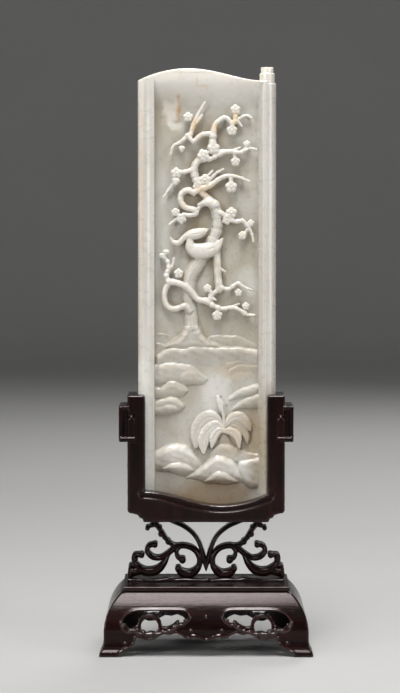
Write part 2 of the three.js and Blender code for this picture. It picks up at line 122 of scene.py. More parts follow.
def outline_distance(outline: Array, u: Array, v: Array) -> Array:
    """Measures how far points are from a closed outline.

    Args:
        outline: The outline's corners, one row each.
        u: First coordinate of the points.
        v: Second coordinate of the points.

    Returns:
        The distances, negative inside the outline.
    """
    nearest = np.float32(FAR**2)
    inside = np.zeros(np.broadcast_shapes(u.shape, v.shape), bool)
    for (au, av), (bu, bv) in zip(outline, np.roll(outline, -1, axis=0)):
        run, rise = bu - au, bv - av
        along = share_along(u - au, v - av, run, rise)
        nearest = np.minimum(nearest, (u - au - along * run) ** 2 + (v - av - along * rise) ** 2)
        if rise:
            inside ^= ((av > v) != (bv > v)) & (u < au + run * (v - av) / rise)
    distance = np.sqrt(nearest)
    return np.where(inside, -distance, distance).astype(np.float32)


def stroke_distance(stroke: Array, u: Array, v: Array) -> Array:
    """Measures how far points are from a drawn stroke of changing width.

    Args:
        stroke: Rows of first coordinate, second coordinate and half width.
        u: First coordinate of the points.
        v: Second coordinate of the points.

    Returns:
        The distances, negative inside the stroke.
    """
    nearest = np.float32(FAR)
    for (au, av, ar), (bu, bv, br) in zip(stroke, stroke[1:]):
        run, rise = bu - au, bv - av
        along = share_along(u - au, v - av, run, rise)
        gap = np.hypot(u - au - along * run, v - av - along * rise) - (ar + along * (br - ar))
        nearest = np.minimum(nearest, gap)
    return nearest.astype(np.float32)


def smooth_min(a: Array, b: Array, blend: float) -> Array:
    """The smaller of two distances, with a fillet of about the blend's size where they meet."""
    if blend <= 0:
        return np.minimum(a, b)
    near = np.maximum(blend - np.abs(a - b), 0) / blend
    return np.minimum(a, b) - near**2 * (blend / 4)


def smooth_max(a: Array, b: Array, blend: float) -> Array:
    """The larger of two distances, with a rounded edge of about the blend's size."""
    return -smooth_min(-a, -b, blend)


def ease(value: Array, low: float, high: float) -> Array:
    """Goes smoothly from 0 to 1 while a value goes from low to high."""
    t = np.clip((value - low) / (high - low), 0, 1)
    return t * t * (3 - 2 * t)


# ---- solid forms


@dataclass(frozen=True)
class Form:
    """A solid form: the corners of the space it lies in, and its signed distance."""

    low: Point
    high: Point
    distance: Distance


def limb(path: Array, radii: Array, flat: float = 1.0) -> Form:
    """A round limb along a path in space.

    Args:
        path: Rows of x, y and z.
        radii: The radius at each row.
        flat: How deep the limb is for its width.

    Returns:
        The limb's form.
    """
    widest = float(np.max(radii))

    def distance(x: Array, y: Array, z: Array) -> Array:
        """Distance to the nearest of the limb's round cones."""
        nearest = np.float32(FAR)
        for a, b, ra, rb in zip(path, path[1:], radii, radii[1:]):
            run = b - a
            squared = max(float(run @ run), TINY)
            along = ((x - a[0]) * run[0] + (y - a[1]) * run[1] + (z - a[2]) * run[2]) / squared
            along = np.clip(along, 0, 1)
            across = (x - a[0] - along * run[0]) ** 2 + (z - a[2] - along * run[2]) ** 2
            deep = ((y - a[1] - along * run[1]) / flat) ** 2
            nearest = np.minimum(nearest, np.sqrt(across + deep) - (ra + along * (rb - ra)))
        return nearest

    low, high = path.min(axis=0) - widest, path.max(axis=0) + widest
    return Form(tuple(low), tuple(high), distance)


def egg(centre: Point, radii: Point, turn: float = 0.0) -> Form:
    """An egg or ball.

    Args:
        centre: Its x, y and z.
        radii: Its half sizes along X, Y and Z before it is turned.
        turn: Turn in the plane of the carving, in degrees, from X towards Z.

    Returns:
        The egg's form.
    """
    cosine, sine = math.cos(math.radians(turn)), math.sin(math.radians(turn))
    widest = max(radii)

    def distance(x: Array, y: Array, z: Array) -> Array:
        """Distance to the egg, exact near its surface."""
        px, py, pz = x - centre[0], y - centre[1], z - centre[2]
        along, up = px * cosine + pz * sine, pz * cosine - px * sine
        near = np.sqrt((along / radii[0]) ** 2 + (py / radii[1]) ** 2 + (up / radii[2]) ** 2)
        steep = np.sqrt(
            (along / radii[0] ** 2) ** 2 + (py / radii[1] ** 2) ** 2 + (up / radii[2] ** 2) ** 2
        )
        return near * (near - 1) / np.maximum(steep, 1e-3)

    low = tuple(c - widest for c in centre)
    high = tuple(c + widest for c in centre)
    return Form(low, high, distance)


def post(x: float, z: float, ends_y: Point, radii: Point) -> Form:
    """A short round post that runs from one depth to another."""
    return limb(np.array([(x, y, z) for y in ends_y]), np.array(radii))


class Across(Enum):
    """Which way an outline is extruded."""

    WIDTH = 0
    DEPTH = 1
    HEIGHT = 2


def plate(
    outline: Array, start: float, end: float, across: Across = Across.DEPTH, rounding: float = 0.0
) -> Form:
    """An outline given thickness.

    Args:
        outline: Corners, on the two other axes in the order x, y, z.
        start: Where the plate starts, on the axis it is extruded along.
        end: Where the plate ends.
        across: The axis it is extruded along.
        rounding: Radius of its rounded edges.

    Returns:
        The plate's form.
    """
    middle, half = (start + end) / 2, (end - start) / 2

    def distance(x: Array, y: Array, z: Array) -> Array:
        """Distance to the rounded plate."""
        axes = [x, y, z]
        through = axes.pop(across.value)
        flat = outline_distance(outline, *axes) + rounding
        deep = np.abs(through - middle) - half + rounding
        outer = np.hypot(np.maximum(flat, 0), np.maximum(deep, 0))
        return outer + np.minimum(np.maximum(flat, deep), 0) - rounding

    low, high = list(outline.min(axis=0)), list(outline.max(axis=0))
    low.insert(across.value, start)
    high.insert(across.value, end)
    return Form(tuple(low), tuple(high), distance)


def block(low: Point, high: Point, rounding: float) -> Form:
    """A block with rounded edges between two corners."""
    outline = np.array([(low[0], low[2]), (high[0], low[2]), (high[0], high[2]), (low[0], high[2])])
    return plate(outline, low[1], high[1], rounding=rounding)


def turned(profile: Array, x_axis: float, rounding: float = 0.0) -> Form:
    """A form turned about an upright axis.

    Args:
        profile: Closed outline, as radius and z.
        x_axis: Where the axis stands in X; it stands at zero in Y.
        rounding: Radius of its rounded edges.

    Returns:
        The turned form.
    """
    widest = float(profile[:, 0].max())

    def distance(x: Array, y: Array, z: Array) -> Array:
        """Distance to the turned form."""
        return outline_distance(profile, np.hypot(x - x_axis, y), z) - rounding

    low = (x_axis - widest, -widest, float(profile[:, 1].min()))
    high = (x_axis + widest, widest, float(profile[:, 1].max()))
    return Form(low, high, distance)


# ---- carving and skinning


class Carving:
    """A solid being carved: signed distances in millimetres on an even grid, negative inside."""

    def __init__(self, low: Point, high: Point, cell: float) -> None:
        """Takes an empty space to carve in.

        Args:
            low: Lowest corner of the space.
            high: Highest corner of the space.
            cell: Side of a grid cell.
        """
        self.cell = cell * 1.0
        margin = 3 * self.cell
        self.low = np.array(low, float) - margin
        counts = np.ceil((np.array(high, float) + margin - self.low) / self.cell).astype(int) + 1
        self.axes = [
            (self.low[k] + self.cell * np.arange(counts[k])).astype(np.float32) for k in range(3)
        ]
        self.depth = np.full(counts, FAR, np.float32)

    def window(self, low: Point, high: Point, reach: float) -> tuple[tuple[slice, ...], list[Array]]:
        """Finds the part of the grid around a form.

        Args:
            low: Lowest corner of the form.
            high: Highest corner of the form.
            reach: How far around the form to look.

        Returns:
            The grid slices, and the open x, y and z coordinates of that part.
        """
        cuts, open_axes = [], []
        for k in range(3):
            first = int((low[k] - reach - self.low[k]) / self.cell)
            last = int((high[k] + reach - self.low[k]) / self.cell) + 2
            cuts.append(slice(max(first, 0), max(last, 0)))
            shape = [1, 1, 1]
            shape[k] = -1
            open_axes.append(self.axes[k][cuts[k]].reshape(shape))
        return tuple(cuts), open_axes

    def add(self, form: Form, blend: float = 0.0) -> None:
        """Leaves a form standing, with a fillet where it meets the rest."""
        cuts, open_axes = self.window(form.low, form.high, blend + 3 * self.cell)
        self.depth[cuts] = smooth_min(self.depth[cuts], form.distance(*open_axes), blend)

    def cut(self, form: Form, blend: float = 0.0) -> None:
        """Cuts a form away, with rounded edges where it leaves the rest."""
        cuts, open_axes = self.window(form.low, form.high, blend + 3 * self.cell)
        self.depth[cuts] = smooth_max(self.depth[cuts], -form.distance(*open_axes), blend)

    def keep_within(self, form: Form) -> None:
        """Cuts away everything outside a form."""
        cuts, open_axes = self.window(self.low, [axis[-1] for axis in self.axes], 0)
        self.depth[cuts] = np.maximum(self.depth[cuts], form.distance(*open_axes))

    def sample(self, points: Array) -> Array:
        """Reads the distance at points in space, evened out between the grid's points.

        Args:
            points: Rows of x, y and z.

        Returns:
            The distance at each point.
        """
        place = (points - self.low) / self.cell
        limits = np.array(self.depth.shape) - 2
        base = np.clip(np.floor(place).astype(int), 0, limits)
        part = np.clip(place - base, 0, 1)
        total = np.zeros(len(points))
        for corner in product((0, 1), repeat=3):
            weight = np.prod([part[:, k] if corner[k] else 1 - part[:, k] for k in range(3)], axis=0)
            total += weight * self.depth[tuple((base + corner).T)]
        return total

    def skin(self) -> tuple[Array, Array]:
        """Lays one closed skin of four-sided faces over the solid.

        Returns:
            The vertices in millimetres, and four vertex numbers for each face.
        """
        inside = self.depth < 0
        filled = np.zeros(np.array(inside.shape) - 1, np.uint8)
        for corner in product((0, 1), repeat=3):
            filled += inside[tuple(slice(c, c - 1 if c == 0 else None) for c in corner)]
        cells = np.argwhere((filled > 0) & (filled < 8))
        number = np.full(filled.shape, -1, np.int32)
        number[tuple(cells.T)] = np.arange(len(cells))
        vertices = self.low + self.cell * (cells + self._crossings(cells))
        faces = [self._faces_across(inside, number, axis) for axis in range(3)]
        return vertices, np.vstack(faces)

    def _crossings(self, cells: Array) -> Array:
        """Averages the places where the surface crosses the edges of each cell.

        Args:
            cells: The cells that the surface runs through.

        Returns:
            One place in each cell, in shares of its side.
        """
        values = self.depth.ravel()
        strides = np.array(self.depth.strides) // self.depth.itemsize
        start = cells @ strides
        total = np.zeros((len(cells), 3))
        count = np.zeros(len(cells))
        for axis in range(3):
            first, second = (axis + 1) % 3, (axis + 2) % 3
            for u, v in product((0, 1), repeat=2):
                edge = start + u * strides[first] + v * strides[second]
                a, b = values[edge], values[edge + strides[axis]]
                crossed = (a < 0) != (b < 0)
                along = np.where(crossed, a / np.where(crossed, a - b, 1), 0)
                total[:, axis] += along
                total[:, first] += u * crossed
                total[:, second] += v * crossed
                count += crossed
        return total / count[:, None]

    @staticmethod
    def _faces_across(inside: Array, number: Array, axis: int) -> Array:
        """Makes the faces that cross the grid's edges along one axis.

        Args:
            inside: Which of the grid's points are inside.
            number: The vertex number of each cell.
            axis: The axis.

        Returns:
            Four vertex numbers for each face.
        """
        first, second = (axis + 1) % 3, (axis + 2) % 3
        lower = [slice(None)] * 3
        upper = [slice(None)] * 3
        lower[axis], upper[axis] = slice(None, -1), slice(1, None)
        leaves = inside[tuple(lower)] & ~inside[tuple(upper)]
        enters = ~inside[tuple(lower)] & inside[tuple(upper)]
        faces = []
        for change, order in ((leaves, (0, 1, 2, 3)), (enters, (3, 2, 1, 0))):
            edges = np.argwhere(change)
            corners = []
            for back_first, back_second in ((1, 1), (0, 1), (0, 0), (1, 0)):
                cell = edges.copy()
                cell[:, first] -= back_first
                cell[:, second] -= back_second
                corners.append(number[tuple(cell.T)])
            faces.append(np.stack([corners[i] for i in order], axis=1))
        return np.vstack(faces)


def largest_shell(vertices: Array, faces: Array) -> tuple[Array, Array]:
    """Drops loose crumbs, so that one closed shell is left.

    Args:
        vertices: All vertices.
        faces: All faces.

    Returns:
        The vertices and faces of the shell with the most vertices.
    """
    label = np.arange(len(vertices))
    edges = np.vstack([faces[:, (0, 1)], faces[:, (1, 2)], faces[:, (2, 3)]])
    changed = True
    while changed:
        lowest = np.minimum(label[edges[:, 0]], label[edges[:, 1]])
        before = label.copy()
        np.minimum.at(label, edges[:, 0], lowest)
        np.minimum.at(label, edges[:, 1], lowest)
        label = label[label]
        label = label[label]
        changed = bool((label != before).any())
    names, counts = np.unique(label, return_counts=True)
    kept = label == names[counts.argmax()]
    renumber = np.cumsum(kept) - 1
    return vertices[kept], renumber[faces[kept[faces[:, 0]]]]


def mesh_from(name: str, vertices: Array, faces: Array) -> bpy.types.Mesh:
    """Makes a mesh in metres from vertices in millimetres and four-sided faces.

    Args:
        name: The mesh's name.
        vertices: The vertices, in millimetres.
        faces: Four vertex numbers for each face.

    Returns:
        The mesh.
    """
    mesh = bpy.data.meshes.new(name)
    mesh.vertices.add(len(vertices))
    mesh.vertices.foreach_set("co", (vertices * MM).astype(np.float32).ravel())
    mesh.loops.add(faces.size)
    mesh.loops.foreach_set("vertex_index", faces.astype(np.int32).ravel())
    mesh.polygons.add(len(faces))
    mesh.polygons.foreach_set("loop_start", np.arange(0, faces.size, 4, dtype=np.int32))
    mesh.update(calc_edges=True)
    return mesh


def thinned(piece: Piece, ratio: float) -> None:
    """Leaves fewer triangles where the surface is flat, and keeps the result as the piece's mesh.

    Args:
        piece: The piece.
        ratio: The share of its triangles that is left.
    """
    modifier = piece.modifiers.new("thin", "DECIMATE")
    modifier.ratio = ratio
    modifier.use_collapse_triangulate = True
    evaluated = piece.evaluated_get(bpy.context.evaluated_depsgraph_get())
    mesh = bpy.data.meshes.new_from_object(evaluated)
    piece.modifiers.clear()
    piece.data = mesh


def linked(name: str, data: bpy.types.ID) -> Piece:
    """Puts a new object into the scene."""
    item = bpy.data.objects.new(name, data)
    bpy.context.scene.collection.objects.link(item)
    return item


def rows_of(vertices: bpy.types.bpy_prop_collection, key: str) -> Array:
    """Reads three values of each vertex, one row for each."""
    values = np.zeros(len(vertices) * 3, np.float32)
    vertices.foreach_get(key, values)
    return values.reshape(-1, 3)


def write_values(mesh: bpy.types.Mesh, name: str, values: Array) -> None:
    """Writes one number on each vertex, as a named attribute."""
    attribute = mesh.attributes.new(name, "FLOAT", "POINT")
    attribute.data.foreach_set("value", values.astype(np.float32))


def write_hollows(piece: Piece, carving: Carving, reach: float) -> None:
    """Writes on each vertex how shut in it is, and how sharp a ridge it stands on, from 0 to 1.

    Args:
        piece: The piece, already skinned.
        carving: The solid that it was skinned from.
        reach: How far out to look, in millimetres.
    """
    places = rows_of(piece.data.vertices, "co") / MM
    normals = rows_of(piece.data.vertex_normals, "vector")
    open_air = np.zeros(len(places))
    for step in HOLLOW_STEPS:
        out = step * reach
        open_air += np.clip(carving.sample(places + normals * out) / out, 0, 1) / len(HOLLOW_STEPS)
    inward = reach * RIDGE_SHARE
    solid = np.clip(-carving.sample(places - normals * reach * RIDGE_SHARE) / inward, 0, 1)
    write_values(piece.data, "hollow", 1 - open_air)
    write_values(piece.data, "ridge", 1 - solid)


def blurred(values: Array, reach: int) -> Array:
    """Evens out a map by a few passes of a running mean along each of its two axes.

    Args:
        values: The map.
        reach: How many grid steps each mean reaches.

    Returns:
        The evened-out map.
    """
    for axis in (0, 1):
        for _ in range(BLUR_PASSES):
            padding = [(0, 0), (0, 0)]
            padding[axis] = (reach + 1, reach)
            total = np.cumsum(np.pad(values, padding, mode="edge"), axis=axis, dtype=np.float64)
            size = 2 * reach + 1
            ahead = np.take(total, range(size, total.shape[axis]), axis=axis)
            behind = np.take(total, range(total.shape[axis] - size), axis=axis)
            values = (ahead - behind) / size
    return values


def write_halo(piece: Piece, carving: Carving, level_y: float, spread: float) -> None:
    """Writes on each vertex how much carved work stands in front of it and around it, which the material uses
    to paint the shadow that the work casts on the ground.

    Args:
        piece: The piece, already skinned.
        carving: The solid that it was skinned from.
        level_y: The y that counts as standing in front.
        spread: How far the halo reaches around the work, in millimetres.
    """
    layer = int((level_y - carving.low[1]) / carving.cell)
    covered = (carving.depth[:, layer, :] < 0).astype(np.float64)
    covered[carving.axes[0] < PLAIN_BORDER_END] = 0
    covered[carving.axes[0] > ROLLER_START] = 0
    covered[:, carving.axes[2] > COVE_START] = 0
    halo = blurred(covered, max(1, round(spread / carving.cell / 2)))
    places = rows_of(piece.data.vertices, "co") / MM
    cells = np.round((places - carving.low) / carving.cell).astype(int)
    across = np.clip(cells[:, 0], 0, halo.shape[0] - 1)
    up = np.clip(cells[:, 2], 0, halo.shape[1] - 1)
    write_values(piece.data, "halo", halo[across, up])


def skinned(name: str, carving: Carving, hollow_reach: float) -> Piece:
    """Skins a carving as one smooth-shaded piece within the triangle limit.

    Args:
        name: Name of the piece.
        carving: The finished carving.
        hollow_reach: How far out to look for crevices, in millimetres.

    Returns:
        The piece, linked into the scene.
    """
    vertices, faces = largest_shell(*carving.skin())
    piece = linked(name, mesh_from(name, vertices, faces))
    triangles = 2 * len(faces)
    if triangles > TRIANGLE_LIMIT:
        thinned(piece, TRIANGLE_LIMIT / triangles)
    piece.data.name = name
    piece.data.shade_smooth()
    write_hollows(piece, carving, hollow_reach)
    piece.modifiers.new("even shading", "WEIGHTED_NORMAL").keep_sharp = False
    log.info("%s: %d faces from %d triangles", name, len(piece.data.polygons), triangles)
    return piece


# ---- shared shader groups


class Nodes:
    """Adds nodes to a tree and joins them, with short calls."""

    def __init__(self, tree: Tree) -> None:
        """Keeps the tree that nodes are added to."""
        self.tree = tree

    def add(self, kind: str, inputs: dict | None = None, **settings: object) -> Node:
        """Adds a node.

        Args:
            kind: The node's type, without its ShaderNode prefix.
            inputs: For each input, by name or number, a plain value or the socket that feeds it.
            **settings: Settings of the node itself.

        Returns:
            The node.
        """
        node = self.tree.nodes.new("ShaderNode" + kind)
        for name, value in settings.items():
            setattr(node, name, value)
        for key, value in (inputs or {}).items():
            self.feed(node.inputs[key], value)
        return node

    def feed(self, socket: Socket, value: object) -> None:
        """Sets a socket to a plain value, or joins it to another socket.

        Args:
            socket: The socket.
            value: A number, a vector, a colour or another socket.
        """
        if isinstance(value, Socket):
            self.tree.links.new(value, socket)
        elif socket.type == "RGBA":
            socket.default_value = (*value, 1.0)
        else:
            socket.default_value = value

    def mix(self, amount: object, low: object, high: object) -> Socket:
        """Mixes two colours and returns the mixed colour."""
        node = self.add("Mix", data_type="RGBA")
        for number, value in ((0, amount), (6, low), (7, high)):
            self.feed(node.inputs[number], value)
        return node.outputs[2]

    def math(self, operation: str, *values: object) -> Socket:
        """Does sums on numbers and returns the result."""
        return self.add("Math", dict(enumerate(values)), operation=operation).outputs[0]

    def product(self, *values: object) -> Socket:
        """Multiplies two numbers and returns the result."""
        return self.math("MULTIPLY", *values)

    def span(
        self, value: object, low: object, high: object, to_low: float = 0.0, to_high: float = 1.0
    ) -> Socket:
        """Maps one range of a value smoothly onto another.

        Args:
            value: The socket or number to map.
            low: Where its range starts.
            high: Where its range ends.
            to_low: What the start becomes.
            to_high: What the end becomes.

        Returns:
            The socket of the mapped value.
        """
        inputs = {0: value, 1: low, 2: high, 3: to_low, 4: to_high}
        return self.add("MapRange", inputs, interpolation_type="SMOOTHSTEP").outputs[0]

    def use(self, group: Tree, inputs: dict[str, object]) -> Node:
        """Places a shader group with its own values."""
        node = self.tree.nodes.new("ShaderNodeGroup")
        node.node_tree = group
        for name, value in inputs.items():
            self.feed(node.inputs[name], value)
        return node


def new_group(
    name: str, inputs: Iterable[tuple[str, str, object]], outputs: Iterable[tuple[str, str]]
) -> tuple[Nodes, Node, Node]:
    """Starts a shader group with named sockets.

    Args:
        name: The group's name.
        inputs: Name, kind and default value of each input.
        outputs: Name and kind of each output.

    Returns:
        The group's nodes, its input node and its output node.
    """
    tree = bpy.data.node_groups.new(name, "ShaderNodeTree")
    for label, kind, value in inputs:
        socket = tree.interface.new_socket(label, in_out="INPUT", socket_type="NodeSocket" + kind)
        socket.default_value = value
    for label, kind in outputs:
        tree.interface.new_socket(label, in_out="OUTPUT", socket_type="NodeSocket" + kind)
    return Nodes(tree), tree.nodes.new("NodeGroupInput"), tree.nodes.new("NodeGroupOutput")


def drift_group() -> Tree:
    """Builds soft drifts of tone, broad and fine, as seen in stone and in waxed wood."""
    nodes, given, result = new_group(
        "soft drifts",
        [("Place", "Vector", (0, 0, 0)), ("Broad scale", "Float", 40.0), ("Fine scale", "Float", 300.0),
         ("Fine share", "Float", 0.3)],
        [("Drift", "Float"), ("Fine", "Float")],
    )
    broad = nodes.add("TexNoise", {
        "Vector": given.outputs["Place"], "Scale": given.outputs["Broad scale"], "Detail": 3.0,
        "Roughness": 0.55, "Distortion": 0.6,
    })
    fine = nodes.add("TexNoise", {
        "Vector": given.outputs["Place"], "Scale": given.outputs["Fine scale"], "Detail": 4.0,
        "Roughness": 0.6,
    })
    mixed = nodes.add("Mix", {0: given.outputs["Fine share"], 2: broad.outputs[0], 3: fine.outputs[0]})
    nodes.feed(result.inputs["Drift"], nodes.span(mixed.outputs[0], 0.32, 0.68))
    nodes.feed(result.inputs["Fine"], fine.outputs[0])
    return nodes.tree


def patch_group() -> Tree:
    """Builds one soft, ragged patch of colour at a place on the surface."""
    nodes, given, result = new_group(
        "ragged patch",
        [("Place", "Vector", (0, 0, 0)), ("Centre", "Vector", (0, 0, 0)),
         ("Half size", "Vector", (0.01, 0.01, 0.01)), ("Ragged", "Float", 0.5),
         ("Ragged scale", "Float", 300.0)],
        [("Mask", "Float")],
    )
    centre, half_size = given.outputs["Centre"], given.outputs["Half size"]
    away = nodes.add("VectorMath", {0: given.outputs["Place"], 1: centre}, operation="SUBTRACT")
    scaled = nodes.add("VectorMath", {0: away.outputs[0], 1: half_size}, operation="DIVIDE")
    length = nodes.add("VectorMath", {0: scaled.outputs[0]}, operation="LENGTH")
    noise = nodes.add("TexNoise", {
        "Vector": given.outputs["Place"], "Scale": given.outputs["Ragged scale"], "Detail": 4.0,
    })
    shift = nodes.product(nodes.math("SUBTRACT", noise.outputs[0], 0.5), given.outputs["Ragged"])
    edge = nodes.math("ADD", length.outputs["Value"], nodes.product(shift, 3.0))
    nodes.feed(result.inputs["Mask"], nodes.span(edge, 1.15, 0.35))
    return nodes.tree


def handling_group() -> Tree:
    """Builds two masks: the hollows, which are darkened with old wax and grime and with painted shade, and
    the worn ridges.
    """
    nodes, given, result = new_group(
        "hollows and ridges",
        [("Hollow from", "Float", 0.3), ("Hollow to", "Float", 0.8), ("Ridge from", "Float", 0.3),
         ("Ridge to", "Float", 0.9), ("Uneven scale", "Float", 200.0)],
        [("Hollow", "Float"), ("Ridge", "Float")],
    )
    place = nodes.add("TexCoord").outputs["Object"]
    noise = nodes.add("TexNoise", {
        "Vector": place, "Scale": given.outputs["Uneven scale"], "Detail": 3.0,
    })
    uneven = nodes.span(noise.outputs[0], 0.3, 0.7, 0.6, 1.0)
    for name in ("Hollow", "Ridge"):
        written = nodes.add("Attribute", attribute_name=name.lower()).outputs["Fac"]
        ranged = nodes.span(written, given.outputs[name + " from"], given.outputs[name + " to"])
        nodes.feed(result.inputs[name], nodes.product(ranged, uneven))
    return nodes.tree


def grain_group() -> Tree:
    """Builds the long, fine grain and the pores of a dense hardwood."""
    nodes, given, result = new_group(
        "long grain",
        [("Place", "Vector", (0, 0, 0)), ("Stretch", "Vector", (1, 1, 1))],
        [("Streak", "Float"), ("Pores", "Float")],
    )
    place, stretch = given.outputs["Place"], given.outputs["Stretch"]
    stretched = nodes.add("VectorMath", {0: place, 1: stretch}, operation="MULTIPLY")
    broad = nodes.add("TexNoise", {
        "Vector": stretched.outputs[0], "Scale": 220.0, "Detail": 4.0, "Roughness": 0.6, "Distortion": 0.8,
    })
    fine = nodes.add("TexNoise", {
        "Vector": stretched.outputs[0], "Scale": 1100.0, "Detail": 3.0, "Roughness": 0.7,
    })
    nodes.feed(result.inputs["Streak"], nodes.span(broad.outputs[0], 0.3, 0.7))
    nodes.feed(result.inputs["Pores"], nodes.span(fine.outputs[0], 0.52, 0.62))
    return nodes.tree


@dataclass(frozen=True)
class SharedEffects:
    """The shader groups that more than one finish uses."""

    drift: Tree = field(default_factory=drift_group)
    patch: Tree = field(default_factory=patch_group)
    handling: Tree = field(default_factory=handling_group)
    grain: Tree = field(default_factory=grain_group)


def new_material(name: str) -> tuple[Material, Nodes, Node]:
    """Starts a material.

    Args:
        name: The material's name.

    Returns:
        The material, its nodes and its Principled shader.
    """
    material = bpy.data.materials.new(name)
    material.use_nodes = True
    nodes = Nodes(material.node_tree)
    return material, nodes, material.node_tree.nodes["Principled BSDF"]


# ---- finishes


@dataclass(frozen=True)
class TintPatch:
    """A patch of another colour laid on the stone, its centre and half size in millimetres: some are the
    stone's own veins and tints, some are painted light and painted shade.
    """

    centre: Point
    half_size: Point
    colour: Colour
    strength: float
    ragged: float = 0.5
    ragged_scale: float = 300.0


@dataclass(frozen=True)
class PolishedJade:
    """Pale celadon-white jade with a soft waxy polish: thin ground, thicker relief, russet veins."""

    # Relief, border and ground are one jade in lit and shaded tones: the light tones are painted glow of
    # thick stone, the dark ones painted shade of the thin ground.
    relief_colour: Colour = (0.67, 0.638, 0.588)
    plain_colour: Colour = (0.575, 0.552, 0.508)
    plain_cloud: Colour = (0.52, 0.495, 0.445)
    ground_colour: Colour = (0.42, 0.385, 0.315)
    ground_cloud: Colour = (0.53, 0.515, 0.47)
    # Brown of the painted shadow around and below the carved work.
    painted_shadow_colour: Colour = (0.34, 0.285, 0.205)
    # Brown laid in the hollows: partly grime in the crevices, partly painted shade.
    hollow_colour: Colour = (0.30, 0.235, 0.155)
    tree_from: tuple[float, float] = (128.0, 150.0)
    low_relief: tuple[float, float] = (-0.15, -4.4)
    high_relief: tuple[float, float] = (-0.2, -5.0)
    left_edge: tuple[float, float] = (-23.9, -23.4)
    right_edge: tuple[float, float] = (24.6, 23.6)
    halo_span: tuple[float, float] = (0.08, 0.62)
    low_halo: float = 0.4
    hollow_share: float = 0.4
    hollow_roughness: float = 0.25
    roughness: float = 0.30
    refraction: float = 1.62
    glow_weight: float = 0.55
    glow_depth: float = 0.0024
    glow_colour: Colour = (1.0, 0.85, 0.6)
    stains_and_painted_light: tuple[TintPatch, ...] = (
        # Painted light: a bright band along the top edge, for the glow of light shining through the thick
        # jade there.
        TintPatch((-4, 0, 272), (60, 9, 22), (0.80, 0.775, 0.71), 0.95, 0.15, 60),
        TintPatch((-7.6, 0, 160), (5, 9, 24), (0.54, 0.53, 0.48), 0.6, 0.4, 120),
        TintPatch((4.4, 0, 194), (4, 9, 13), (0.54, 0.53, 0.47), 0.5, 0.4, 120),
        TintPatch((-12.7, 0, 248.5), (1.2, 9, 6.5), (0.46, 0.29, 0.14), 0.85, 0.6, 400),
        TintPatch((-16, 0, 247), (4.4, 9, 7), (0.72, 0.66, 0.60), 0.7, 0.7, 260),
        TintPatch((-14, 0, 239.8), (3.6, 9, 2.6), (0.70, 0.68, 0.62), 0.7, 0.7, 260),
        TintPatch((-1.6, 0, 258.4), (3.6, 9, 1), (0.62, 0.49, 0.33), 0.55, 0.5, 420),
        TintPatch((-4.4, 0, 261.2), (0.9, 9, 2.4), (0.62, 0.49, 0.33), 0.5, 0.4, 420),
        TintPatch((0.6, 0, 256.8), (0.8, 9, 2.2), (0.62, 0.49, 0.33), 0.5, 0.4, 420),
        TintPatch((-28.9, 0, 215), (0.8, 9, 72), (0.50, 0.40, 0.28), 0.85, 0.35, 120),
        TintPatch((-31, 0, 190), (0.7, 9, 110), (0.42, 0.34, 0.24), 0.8, 0.3, 120),
        TintPatch((-26.4, 0, 200), (0.9, 9, 90), (0.74, 0.73, 0.69), 0.8, 0.3, 120),
        # Painted shade on the roller's left side, then a painted highlight on its right side.
        TintPatch((25.6, 0, 190), (0.8, 9, 90), (0.47, 0.43, 0.35), 0.6, 0.3, 120),
        TintPatch((29.6, 0, 180), (0.9, 9, 90), (0.70, 0.69, 0.65), 0.6, 0.3, 120),
        TintPatch((-4.6, -4, 239.5), (3, 5, 5.6), (0.70, 0.52, 0.33), 0.8, 0.4, 300),
        TintPatch((13.4, -4, 244), (2, 5, 3.4), (0.70, 0.55, 0.35), 0.8, 0.4, 300),
        TintPatch((3.8, -4, 239.6), (1.8, 5, 3), (0.72, 0.57, 0.39), 0.75, 0.4, 300),
        TintPatch((0, -4, 210.6), (6.5, 5, 4.6), (0.70, 0.56, 0.38), 0.6, 0.5, 260),
        TintPatch((-9, -4, 206), (3.6, 5, 5), (0.74, 0.64, 0.49), 0.5, 0.5, 260),
        # Painted light on the lower left border, where the cradle's arm shades it.
        TintPatch((-28.2, 0, 92), (4.6, 14, 56), (0.84, 0.83, 0.785), 0.9, 0.2, 90),
        TintPatch((15, 0, 84), (12, 6, 7), (0.76, 0.75, 0.71), 0.4, 0.4, 160),
        # Painted shade and painted reflection of the dark wood: brown on the lower right, below the
        # plantain's crown.
        TintPatch((15, 0, 98), (12, 12, 13), (0.46, 0.35, 0.22), 0.45, 0.5, 120),
        TintPatch((21.5, 0, 100), (3.5, 12, 16), (0.46, 0.36, 0.24), 0.6, 0.5, 140),
        TintPatch((-14, 0, 91), (10, 12, 5), (0.76, 0.75, 0.71), 0.35, 0.5, 160),
        # Painted reflection of the dark wood and painted shadow: brown down the lower roller and below the
        # front rocks, by the cradle's lip.
        TintPatch((27, 0, 92), (8.5, 12, 30), (0.37, 0.30, 0.20), 0.8, 0.4, 100),
        TintPatch((2, 0, 70), (26, 12, 11), (0.27, 0.195, 0.12), 0.9, 0.3, 100),
        # Painted shade below the shore bank on the right.
        TintPatch((12, 0, 128), (13, 12, 5), (0.60, 0.50, 0.38), 0.5, 0.5, 160),
        TintPatch((4.5, 0, 117), (9, 5, 12), (0.67, 0.65, 0.61), 0.75, 0.5, 120),
        TintPatch((6.8, 0, 115.7), (0.7, 9, 0.9), (0.30, 0.24, 0.16), 0.7, 0.5, 500),
        TintPatch((9.4, 0, 111.7), (0.8, 9, 0.7), (0.30, 0.26, 0.18), 0.7, 0.5, 500),
        TintPatch((11.2, 0, 120.9), (0.6, 9, 0.6), (0.34, 0.30, 0.22), 0.7, 0.5, 500),
        TintPatch((19, 0, 168), (5, 9, 9), (0.60, 0.60, 0.545), 0.6, 0.6, 150),
        TintPatch((-21, 0, 190), (4, 9, 40), (0.58, 0.575, 0.53), 0.5, 0.5, 90),
    )

